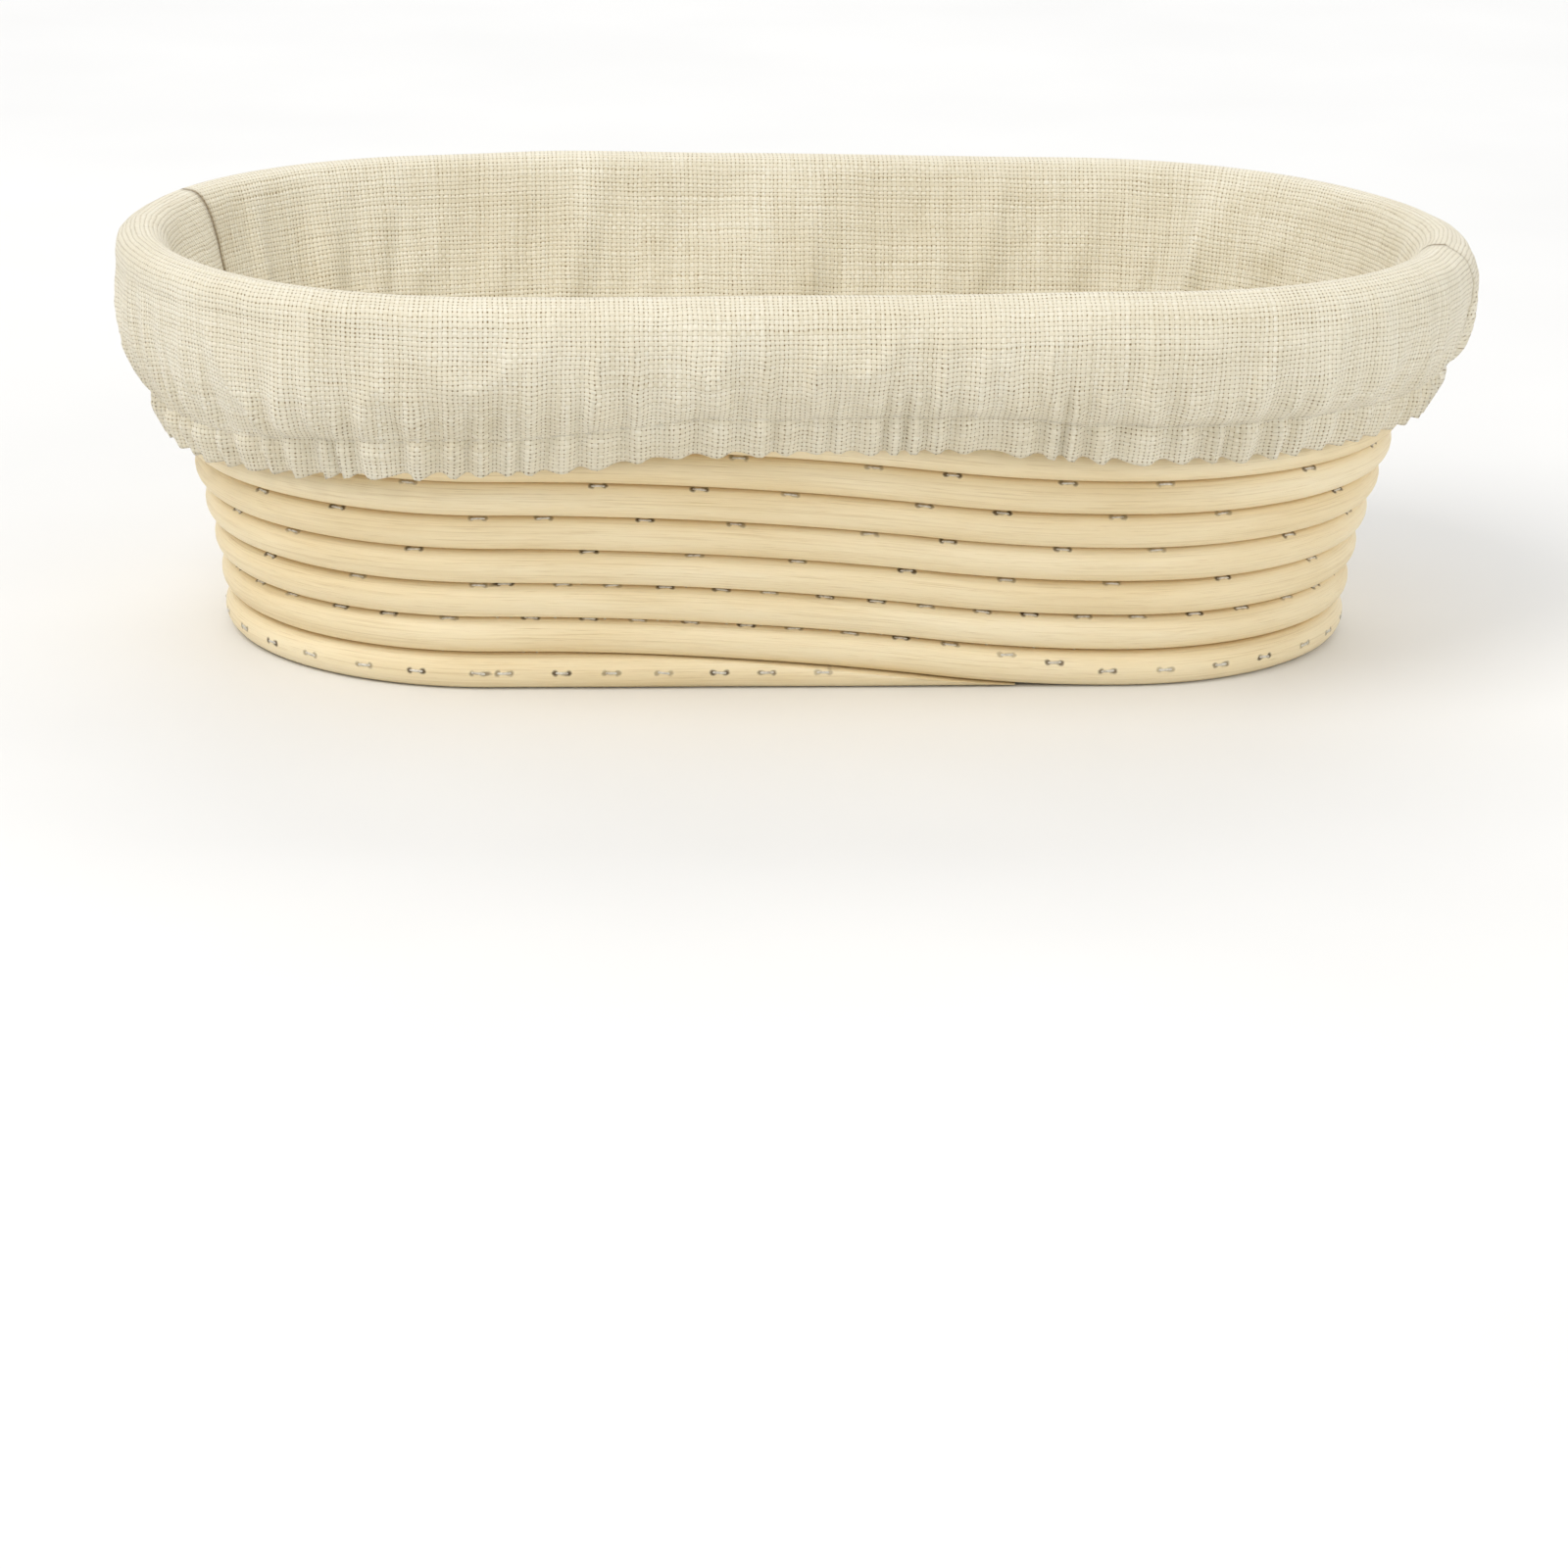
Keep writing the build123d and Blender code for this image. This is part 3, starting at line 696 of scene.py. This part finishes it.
def build_base():
    for side, label in ((-1, "front"), (1, "back")):
        run = straight_run(side * CORE_OFFSET, FLOOR_HEIGHT, -HALF_RUN, HALF_RUN)
        cane_mesh(f"core_strip_{label}", [run[::side]], "base_core_strips", [], True, 11 + side)
    runs = lead_in(base_centre) + coil(base_centre, 1, -HALF_RUN, BASE_TURNS, HALF_RUN)
    runs += lead_out(base_centre, BASE_TURNS)
    cane_mesh("base_coil_cane", runs, "base_coil", [], True, 5, [skive_clip(True, True)])
    staple_mesh("base_staple_row", base_staples(), "base_staples")


def build_wall():
    staples = {turn: wall_staples(turn) for turn in range(1, WALL_TURNS + 1)}
    ends = [None] + SPLICE_PLACES + [None]
    for number, (begin, finish) in enumerate(zip(ends, ends[1:]), start=1):
        half = SPLICE_LENGTH / 2
        first, first_x = (begin[0], begin[1] - half) if begin else (1, -HALF_RUN)
        last, last_x = (finish[0], finish[1] + half) if finish else (WALL_TURNS, HALF_RUN)
        runs = coil(wall_centre, first, first_x, last, last_x)
        clips = [scarf_clip(begin, finish)]
        if not begin:
            runs = lead_in(wall_centre) + runs
            clips.append(skive_clip(at_start=True))
        if not finish:
            runs = runs + lead_out(wall_centre, WALL_TURNS)
            clips.append(skive_clip(at_end=True))
        here = [row for turn in range(first, last + 1) for row in staples[turn]]
        cane_mesh(f"wall_length_{number}", runs, f"wall_cane_{number}", here, False, number, clips)
    for turn, rows in staples.items():
        staple_mesh(f"staple_row_{turn:02d}", rows, f"wall_staples_turn_{turn:02d}")


build_base()
build_wall()


# ---- liner shape ----
# The side of the liner is laid out round the basket: "place" runs anticlockwise from the
# middle of the front, measured on an oval of PLACE_RADIUS, and each place has one profile.
PLACE_RADIUS = 62.0
HALF_TURN = pi * PLACE_RADIUS
ROUND = 4 * HALF_RUN + 2 * HALF_TURN
RIGHT_SEAM = HALF_RUN + radians(70) * PLACE_RADIUS
LEFT_SEAM = 3 * HALF_RUN + HALF_TURN + radians(62) * PLACE_RADIUS
BACK_MIDDLE = 2 * HALF_RUN + HALF_TURN
RIGHT_CREASE = HALF_RUN + radians(152) * PLACE_RADIUS

FLOOR_CLOTH_HEIGHT = 7.75
FLOOR_SEAM_RADIUS = 41.7
RIM_RADIUS, RIM_HEIGHT = WALL[-1]
SKIRT_RADIUS, SKIRT_HEIGHT = 71.7, 70.5
SKIRT_FALL = [(0.28, 0.96), (0.57, 0.78), (0.83, 0.42)]
CHANNEL = 7.0  # from the hem's stitching down to its lower edge
HEM_AT = [(-186, 40.0), (-120, 40.5), (-58, 45.0), (-15, 49.0), (25, 49.5), (60, 47.5),
          (134, 47.0), (250, 46.0), (312, 45.5), (380, 44.0), (438, 40.0)]
RIM_LIFT_AT = [(-186, 0.0), (-110, 0.0), (-50, 0.3), (10, 0.8), (60, 1.6), (134, 1.2),
               (190, 0.0), (250, 0.0), (320, 0.6), (352, 0.9), (380, 0.0), (438, 0.0)]
SKIRT_OUT_AT = [(-186, -2.3), (-110, -2.0), (-40, -0.6), (40, 0.0), (134, 0.0), (250, -0.3),
                (312, -0.8), (438, -2.3)]
INNER_ROWS, OUTER_ROWS, CHANNEL_ROWS = 76, 46, 26
STITCH_ROW = INNER_ROWS + OUTER_ROWS - 2
FLOOR_EDGE_HEIGHT = FLOOR_CLOTH_HEIGHT - 0.1
WALL_FOOT = (42.35, 8.45)  # radius and height at which the side leaves the floor
RIM_ROLL = [(160, 4.4), (118, 4.5)]  # degrees round the top cane and distance from its centre
RIM_TOP, SKIRT_TOP = (0.9, 4.45), (4.7, 2.2)  # out and up from the top cane's centre
STITCHES_OUT, SWELL_OUT, EDGE_OUT = 2.0, 2.3, 1.8
ROWS_OF_FLOOR, COLUMNS_OF_FLOOR = 46, 440
FLOOR_SEAM_RIDGE = (0.955, 0.028, 0.55)  # share of the radius, half width and height
PANEL_RADIUS = 66.0  # at which the weave keeps its true width

# Wrinkles: wave length round the basket, seed, change on the way up the wall, and height.
SWAY = (30, 48.8, 1.5, 2.5)
SOFT_FOLDS, BROAD_FOLDS = (9.0, 54.4, 0.9, 6.2), (24, 61.2, 0.8, 4.6)
RIDGES, SKIRT_RIDGES = (15, 92.2, 1.2, 1.7), (10, 86.6, 0.7, 1.5)
SKIRT_SWAY = (40, 73.1, 1.0, 2.5)
CREASE_WIDTH, CREASE_LEAN, CREASE_HEIGHT = 2.3, 9, 2.2
SEAM_PUCKER, SEAM_PUCKER_LENGTH, SEAM_SUNK = 0.55, 5.2, (0.33, 0.55)
GATHER_COUNT = 108

# The band's section: share of its width from the upper edge, and half thickness in mm.
ELASTIC_SECTION = [(0.0, -0.2), (0.0, 0.2), (0.1, 0.3), (0.9, 0.3), (1.0, 0.2), (1.0, -0.2),
                   (0.9, -0.3), (0.1, -0.3)]
ELASTIC_COLUMNS, STITCH_COLUMNS = 700, 1000

FOLD_SLANT, BROAD_SLANT = 14.0, 46.0  # how far folds lean along the wall from foot to rim
SEAM_SHADE = 0.75  # half width of the painted shade line along an end seam
SEAM_SHADE_OUTSIDE = 0.35  # how dark that painted shade is outside, against inside


def eased(place, table):
    """Smooth curve through (place, value) pairs, closed round the basket."""
    keys = np.array([p for p, _ in table], dtype=float)
    values = np.array([v for _, v in table], dtype=float)
    at = (place - keys[0]) % ROUND + keys[0]
    index = np.clip(np.searchsorted(keys, at, side="right") - 1, 0, len(keys) - 1)
    following = np.minimum(index + 1, len(keys) - 1)
    width = np.maximum(keys[following] - keys[index], 1e-6)
    share = np.clip((at - keys[index]) / width, 0, 1)
    share = share * share * (3 - 2 * share)
    return values[index] + (values[following] - values[index]) * share


def plan(place):
    """Foot of each place on the core line, and the direction outwards from it."""
    at = np.asarray(place, dtype=float) % ROUND
    right = np.clip(at - HALF_RUN, 0, HALF_TURN) / PLACE_RADIUS
    left = np.clip(at - 3 * HALF_RUN - HALF_TURN, 0, HALF_TURN) / PLACE_RADIUS
    angle = right + left - pi / 2
    first = np.clip(at, 0, HALF_RUN)
    back = np.clip(at - HALF_RUN - HALF_TURN, 0, 2 * HALF_RUN)
    last = np.clip(at - 3 * HALF_RUN - 2 * HALF_TURN, 0, HALF_RUN)
    return first - back + last, angle


def apart(place, where):
    """Signed distance round the basket from where to place."""
    return (place - where + ROUND / 2) % ROUND - ROUND / 2


def wall_radius(height):
    return np.interp(height, WALL[:, 1], WALL[:, 0])


def curve_through(points, rows):
    """Even rows along a smooth curve through the same number of points in each column."""
    before, after = 2 * points[0] - points[1], 2 * points[-1] - points[-2]
    p = [before] + list(points) + [after]
    t = np.linspace(0, 1, 12, endpoint=False)[:, None, None]
    parts = []
    for a, b, c, d in zip(p, p[1:], p[2:], p[3:]):
        parts.append(0.5 * (2 * b + (c - a) * t + (2 * a - 5 * b + 4 * c - d) * t ** 2
                            + (3 * b - a - 3 * c + d) * t ** 3))
    fine = np.concatenate(parts + [points[-1][None]])
    steps = np.linalg.norm(np.diff(fine, axis=0), axis=2)
    run = np.concatenate([np.zeros((1, steps.shape[1])), np.cumsum(steps, axis=0)])
    out = np.empty((rows, points[0].shape[0], 2))
    for column in range(out.shape[1]):
        at = np.linspace(0, run[-1, column], rows)
        for k in range(2):
            out[:, column, k] = np.interp(at, run[:, column], fine[:, column, k])
    return out


def round_noise(place, scale, seed, lift=0.0):
    """Noise between -1 and 1 that joins up with itself once round the basket."""
    angle = 2 * pi * np.asarray(place) / ROUND
    reach = ROUND / (2 * pi * scale)
    return smooth_noise(reach * np.cos(angle), reach * np.sin(angle), lift + seed)


def gathers(place):
    """Height from 0 to 1 of the small puckers that the elastic makes."""
    uneven = 3.4 * round_noise(place, 21, 3.3) + 0.9 * round_noise(place, 7, 9.1)
    wave = 0.5 + 0.5 * np.sin(2 * pi * (place + 2.2 * uneven) / (ROUND / GATHER_COUNT))
    strength = 0.72 + 0.5 * round_noise(place, 15, 14.7)
    return wave ** 1.35 * strength


def liner_profile(place):
    """Radius and height of the cloth, by row and column, from floor seam to inside the hem."""
    def spot(radius, height):
        return joined(radius, height, place)[:, :2]

    lift, hem, out = (eased(place, table) for table in (RIM_LIFT_AT, HEM_AT, SKIRT_OUT_AT))
    pucker = gathers(place)
    fold = 1.3 * round_noise(place, 15, 25.5) + 0.9 * round_noise(place, 7.5, 32.5)
    inner = [spot(FLOOR_SEAM_RADIUS, FLOOR_EDGE_HEIGHT), spot(*WALL_FOOT)]
    for turn in range(1, WALL_TURNS - 1):
        radius, height = WALL[turn]
        tilt = WALL_LEANS[turn]
        height = height + WALL_GAP * sin(tilt) + lift * (turn / WALL_TURNS) ** 3
        inner.append(spot(radius - WALL_GAP * cos(tilt), height))
    for degrees, roll in RIM_ROLL:
        angle = radians(degrees)
        height = RIM_HEIGHT + roll * sin(angle) + lift
        inner.append(spot(RIM_RADIUS + roll * cos(angle), height))
    top = spot(RIM_RADIUS + RIM_TOP[0], RIM_HEIGHT + RIM_TOP[1] + lift)
    inner.append(top)

    stitch_height = hem + CHANNEL + 0.7 * (pucker - 0.5) + 0.5 * fold
    stitch_radius = wall_radius(stitch_height) + CANE_RADIUS + STITCHES_OUT + 1.6 * pucker
    stitch = spot(stitch_radius, stitch_height)
    shoulder = SKIRT_HEIGHT + lift
    skirt = SKIRT_RADIUS + out
    outer = [top, spot(RIM_RADIUS + SKIRT_TOP[0] + 0.3 * out, RIM_HEIGHT + SKIRT_TOP[1] + lift),
             spot(skirt + 0.3 * fold, shoulder)]
    for share, width in SKIRT_FALL:
        height = shoulder + (stitch_height - shoulder) * share
        radius = stitch_radius + (skirt - stitch_radius) * width
        flutter = 2.6 * (pucker - 0.3) * share ** 2.6
        outer.append(spot(radius + (0.3 + 1.5 * share) * fold + flutter, height))
    outer.append(stitch)

    swell = wall_radius(hem + 4.2) + CANE_RADIUS + SWELL_OUT + 3.2 * pucker
    edge = wall_radius(hem) + CANE_RADIUS + EDGE_OUT + 2.4 * pucker
    behind = wall_radius(hem + 4.5) + OUTSIDE_GAP
    channel = [stitch, spot(swell, hem + 4.6), spot(edge + 0.35, hem + 1.0 - 0.7 * pucker),
               spot(edge - 0.35, hem - 0.9 * pucker), spot(edge - 1.15, hem + 1.3),
               spot(behind, hem + 4.4), spot(stitch_radius - 0.75 - 0.35 * pucker, stitch_height + 0.3)]
    return np.concatenate([curve_through(inner, INNER_ROWS), curve_through(outer, OUTER_ROWS)[1:],
                           curve_through(channel, CHANNEL_ROWS)[1:]])


def wrinkles(place, kind, rise):
    """Noise between -1 and 1 of one kind of wrinkle; rise is the share of the way up."""
    wave, seed, change, _ = kind
    return round_noise(place, wave, seed, rise * change)


def ridged(place, kind, rise, power):
    """Long soft ridges, from 0 to 1, where the noise passes through zero."""
    return np.clip(1 - 2.6 * np.abs(wrinkles(place, kind, rise)), 0, 1) ** power


def wrinkle_height(place, row):
    """How far the cloth stands off its smooth shape, by row and column."""
    inner = np.clip(row / (INNER_ROWS - 1), 0, 1)
    inside = np.sin(pi * np.clip(row / (INNER_ROWS - 6), 0, 1)) ** 0.7
    sway = SWAY[3] * wrinkles(place, SWAY, inner)
    soft = wrinkles(place + sway + FOLD_SLANT * inner, SOFT_FOLDS, inner)
    broad = wrinkles(place + BROAD_SLANT * inner, BROAD_FOLDS, inner)
    amount = np.clip(soft, 0, 1) ** 1.2 * SOFT_FOLDS[3] + np.clip(broad, 0, 1) ** 0.8 * BROAD_FOLDS[3]
    off_crease = apart(place, RIGHT_CREASE) + CREASE_LEAN * (inner - 0.6)
    crease = np.exp(-(off_crease / CREASE_WIDTH) ** 2)
    ridges = ridged(place + 2 * sway, RIDGES, inner, 3) * np.clip(0.6 + 1.6 * broad, 0, 1)
    amount = (amount + CREASE_HEIGHT * crease + RIDGES[3] * ridges) * inside
    share = np.clip((row - INNER_ROWS) / OUTER_ROWS, 0, 1)
    outside = np.sin(pi * share)
    leaning = place + SKIRT_SWAY[3] * wrinkles(place, SKIRT_SWAY, share)
    skirt_ridges = ridged(leaning, SKIRT_RIDGES, share, 2)
    amount = amount + SKIRT_RIDGES[3] * skirt_ridges * np.sin(pi * share ** 1.5)
    for seam in (LEFT_SEAM, RIGHT_SEAM):
        gap = np.abs(apart(place, seam))
        along = row * 0.95 + 2.0 * smooth_noise(row / 9.0, seam, 0.0)
        pucker = np.sin(2 * pi * along / SEAM_PUCKER_LENGTH)
        pucker = pucker * np.exp(-gap / 5.0) * (1 - np.exp(-gap / 1.4))
        where = inside + 0.8 * outside * (1 - share ** 2)
        amount = amount + SEAM_PUCKER * np.clip(pucker, 0, 1) * where
        sunk = SEAM_SUNK[0] * inside + SEAM_SUNK[1] * outside
        amount = amount - np.exp(-(gap / 1.1) ** 2) * sunk
    return amount


def liner_grid(place):
    """Middle surface of the cloth with its wrinkles: points, run from the rim, and radius."""
    profile = liner_profile(place)
    up = np.gradient(profile, axis=0)
    up = up / np.maximum(np.linalg.norm(up, axis=2, keepdims=True), 1e-9)
    inwards = joined(-up[..., 1], up[..., 0])
    row = np.arange(len(profile))[:, None]
    moved = profile + inwards * wrinkle_height(place[None], row)[..., None]
    radius, height = moved[..., 0], moved[..., 1]
    held_off = np.maximum(radius, wall_radius(height) + OUTSIDE_GAP)
    radius = np.where((row >= INNER_ROWS) & (height < RIM_HEIGHT), held_off, radius)
    core, angle = plan(place)
    lengths = np.linalg.norm(np.diff(profile, axis=0), axis=2)
    run = np.concatenate([np.zeros((1, len(place))), np.cumsum(lengths, axis=0)])
    run = run - run[INNER_ROWS - 1]
    return joined(core + radius * np.cos(angle), radius * np.sin(angle), height), run, radius


def liner_panel(name, start, end, middle, node):
    place = np.linspace(start, end, int(round((end - start) / COLUMN_STEP)) + 1)
    points, run, radius = liner_grid(place)
    rows, columns = run.shape
    piece = build_mesh(name, points, grid_quads(rows, columns))
    offset = place - middle
    straight = np.clip(offset, -HALF_RUN, HALF_RUN)
    bend_share = (offset - straight) / PLACE_RADIUS
    u = straight[None] + bend_share[None] * (0.5 * radius + 0.5 * PANEL_RADIUS)
    lay_flat(piece, joined(u, run).reshape(-1, 2))
    # A painted shade line along each end seam, weaker outside.
    gap = np.minimum(np.abs(apart(place, LEFT_SEAM)), np.abs(apart(place, RIGHT_SEAM)))
    shade = np.where(np.arange(rows) < INNER_ROWS, 1.0, SEAM_SHADE_OUTSIDE)[:, None]
    add_values(piece, "seam", np.exp(-(gap / SEAM_SHADE) ** 2)[None] * shade)
    dress(piece, LINEN, node)
    thicken(piece)
    return piece


def thicken(piece):
    layer = piece.modifiers.new("thickness", "SOLIDIFY")
    layer.thickness, layer.offset = CLOTH * MM, 0.0


def build_liner_floor():
    """Bottom panel: lies on the coil, a little uneven, with its edge sewn to the side."""
    core, angle = plan(np.linspace(0, ROUND, COLUMNS_OF_FLOOR, endpoint=False))
    shares = np.linspace(0, 1, ROWS_OF_FLOOR)[:, None]
    radius = FLOOR_SEAM_RADIUS * shares
    x = core + radius * np.cos(angle)
    y = radius * np.sin(angle)
    height = FLOOR_CLOTH_HEIGHT + 0.35 * np.clip(smooth_noise(x / 19, y / 19, 3.0), 0, 1)
    middle, width, rise = FLOOR_SEAM_RIDGE
    height = height + rise * np.exp(-((shares - middle) / width) ** 2)
    height = height + 0.4 * np.clip(smooth_noise(x / 6, y / 6, 8.0), 0, 1) * shares ** 6
    height[-1] = FLOOR_EDGE_HEIGHT
    points = joined(x, y, height).reshape(-1, 3)
    quads = grid_quads(ROWS_OF_FLOOR, COLUMNS_OF_FLOOR, closed=True)[:, ::-1]
    piece = build_mesh("liner_floor_panel", points, quads)
    lay_flat(piece, points[:, :2])
    weld = piece.modifiers.new("join_middle", "WELD")
    weld.merge_threshold = 0.05 * MM
    dress(piece, LINEN, "liner_floor")
    thicken(piece)
    return piece


def stitch_mesh(name, lines, node):
    """Single stitches; each line is (points, normals) from one needle hole to the next."""
    parts = [], [], []
    for points, normals in lines:
        tangent = unit(np.gradient(points, axis=0))
        taper = np.array([THREAD_TAPER] + [1.0] * (len(points) - 2) + [THREAD_TAPER])
        radius = (taper * THREAD / 2)[:, None, None]
        add_wire(parts, points, normals, np.cross(tangent, normals), radius, THREAD_SIDES)
    piece = build_mesh(name, *parts)
    dress(piece, THREAD_STUFF, node)
    return piece


def surface_stitches(points, normals, lift=WALL_STITCH_LIFT):
    """Stitches along a line lying on the cloth."""
    steps = np.linalg.norm(np.diff(points, axis=0), axis=1)
    run = np.concatenate([[0], np.cumsum(steps)])
    lines = []
    at = STITCH_START
    while at + STITCH < run[-1]:
        spots = np.linspace(at, at + STITCH, len(STITCH_RISE))
        facing = unit(points_at(spots, run, normals))
        path = points_at(spots, run, points) + facing * (STITCH_RISE * lift)[:, None]
        lines.append((path, facing))
        at += STITCH + STITCH_SPACE
    return lines


def grid_normals(points):
    down = np.gradient(points, axis=0)
    along = np.gradient(points, axis=1)
    return unit(np.cross(along, down))


def build_elastic():
    """Band inside the hem channel, between the channel's front and back layers."""
    place = np.linspace(LEFT_SEAM - ROUND, LEFT_SEAM, ELASTIC_COLUMNS, endpoint=False)
    points = liner_grid(place)[0]
    last = len(points) - 1
    upper = (points[STITCH_ROW + 3] + points[last - 3]) / 2
    lower = (points[STITCH_ROW + 9] + points[last - 8]) / 2
    through = unit(points[STITCH_ROW + 6] - points[last - 6])
    band = [upper + (lower - upper) * across + through * depth for across, depth in ELASTIC_SECTION]
    ring = np.stack(band, axis=1)
    corners = len(ELASTIC_SECTION)
    quads = grid_quads(ELASTIC_COLUMNS + 1, corners, closed=True) % (ELASTIC_COLUMNS * corners)
    elastic = build_mesh("elastic_band", ring, quads)
    lay_flat(elastic, np.array([(along, corner) for along in place for corner in range(corners)]))
    dress(elastic, ELASTIC, "hem_elastic")
    return elastic


def build_liner():
    front = liner_panel("side_panel_front", LEFT_SEAM - ROUND, RIGHT_SEAM, 0.0, "liner_side_front")
    back = liner_panel("side_panel_back", RIGHT_SEAM, LEFT_SEAM, BACK_MIDDLE, "liner_side_back")
    floor = build_liner_floor()
    points = liner_grid(np.linspace(LEFT_SEAM - ROUND, LEFT_SEAM, STITCH_COLUMNS))[0]
    normals = grid_normals(points)
    lines = surface_stitches(points[STITCH_ROW], -normals[STITCH_ROW])
    hem = stitch_mesh("hem_stitches", lines, "hem_stitching")
    lines = surface_stitches(points[2], normals[2], FLOOR_STITCH_LIFT)
    seam = stitch_mesh("floor_seam_stitches", lines, "floor_seam_stitching")
    ends = []
    sewn = slice(4, STITCH_ROW - 2)
    for place in (LEFT_SEAM, RIGHT_SEAM):
        side = liner_grid(place + np.array([-1, 0, 1]) * BESIDE_SEAM)[0]
        ends += surface_stitches(side[sewn, 2], grid_normals(side)[sewn, 2])
    end = stitch_mesh("end_seam_stitches", ends, "end_seam_stitching")
    elastic = build_elastic()


build_liner()


# ---- studio ----
CAMERA_AZIMUTH, CAMERA_ELEVATION, CAMERA_ROLL = np.radians([-4.95, 14.07, -1.21]).tolist()
CAMERA_DISTANCE, CAMERA_TARGET_HEIGHT = 0.974, 0.0389
AIM_BELOW, AIM_LEFT = 0.0705, 0.0013
LENS, SENSOR = 115.5, 36.0
FLOOR_HALF, FLOOR_BELOW = 4000.0, 0.0002
FLOOR_STOPS = [(0.3, (0.80, 0.795, 0.785)), (0.7, (0.83, 0.825, 0.815))]
# Lights: place, point lit, size, power and colour.
LIGHTS = {"key": ((-0.75, -0.55, 1.25), (0, 0, 0.03), (0.9, 0.9), 11.0, (1.0, 0.98, 0.95)),
          "fill": ((1.1, -0.9, 0.7), (0, 0, 0.03), (1.4, 0.9), 4.9, (1.0, 0.99, 0.97)),
          "back": ((0.2, 1.2, 1.0), (0, 0, 0.05), (1.4, 0.6), 6.0, (1.0, 1.0, 1.0))}
WORLD_COLOUR, WORLD_STRENGTH = (0.93, 0.94, 0.95, 1), 0.76


def aim_camera():
    """Camera low in front, a little to the left, seen through a long lens."""
    target = Vector((0, 0, CAMERA_TARGET_HEIGHT))
    level = cos(CAMERA_ELEVATION)
    back = Vector((sin(CAMERA_AZIMUTH) * level, -cos(CAMERA_AZIMUTH) * level,
                   sin(CAMERA_ELEVATION)))
    place = target + back * CAMERA_DISTANCE
    right = (-back).cross(Vector((0, 0, 1))).normalized()
    up = right.cross(-back)
    rolled_up = up * cos(CAMERA_ROLL) + right * sin(CAMERA_ROLL)
    rolled_right = right * cos(CAMERA_ROLL) - up * sin(CAMERA_ROLL)
    aim = target - rolled_up * AIM_BELOW - rolled_right * AIM_LEFT
    forward = (aim - place).normalized()
    side = forward.cross(rolled_up).normalized()
    top = side.cross(forward)
    camera = bpy.data.objects.new("camera", bpy.data.cameras.new("camera"))
    bpy.context.collection.objects.link(camera)
    camera.data.lens, camera.data.sensor_width = LENS, SENSOR
    camera.data.clip_start, camera.data.clip_end = 0.05, 20.0
    turned = Matrix((side, top, -forward)).transposed().to_4x4()
    camera.matrix_world = Matrix.Translation(place) @ turned
    bpy.context.scene.camera = camera


def area_light(name, place, aim, size, power, colour):
    lamp = bpy.data.lights.new(name, "AREA")
    lamp.shape, lamp.size, lamp.size_y = "RECTANGLE", size[0], size[1]
    lamp.energy, lamp.color = power, colour
    light = bpy.data.objects.new(name, lamp)
    bpy.context.collection.objects.link(light)
    light.location = place
    light.rotation_euler = (Vector(aim) - Vector(place)).to_track_quat("-Z", "Y").to_euler()


def build_studio():
    look = Looks("pale_floor")
    speck = look.noise(look.add("TexCoord", {}, "Object"), 9.0, 2.0)
    corners = [(x * FLOOR_HALF, y * FLOOR_HALF, 0) for x, y in ((-1, -1), (1, -1), (1, 1), (-1, 1))]
    floor = build_mesh("floor", corners, [(0, 1, 2, 3)], smooth=False)
    floor.location.z = -FLOOR_BELOW
    floor.data.materials.append(look.shade(Base_Color=look.ramp(speck, FLOOR_STOPS), Roughness=0.7))
    for name, light in LIGHTS.items():
        area_light(name, *light)
    world = bpy.data.worlds.new("world")
    world.use_nodes = True
    background = world.node_tree.nodes["Background"].inputs
    background[0].default_value, background[1].default_value = WORLD_COLOUR, WORLD_STRENGTH
    bpy.context.scene.world = world
    bpy.context.scene.view_settings.view_transform = "Standard"


aim_camera()
build_studio()
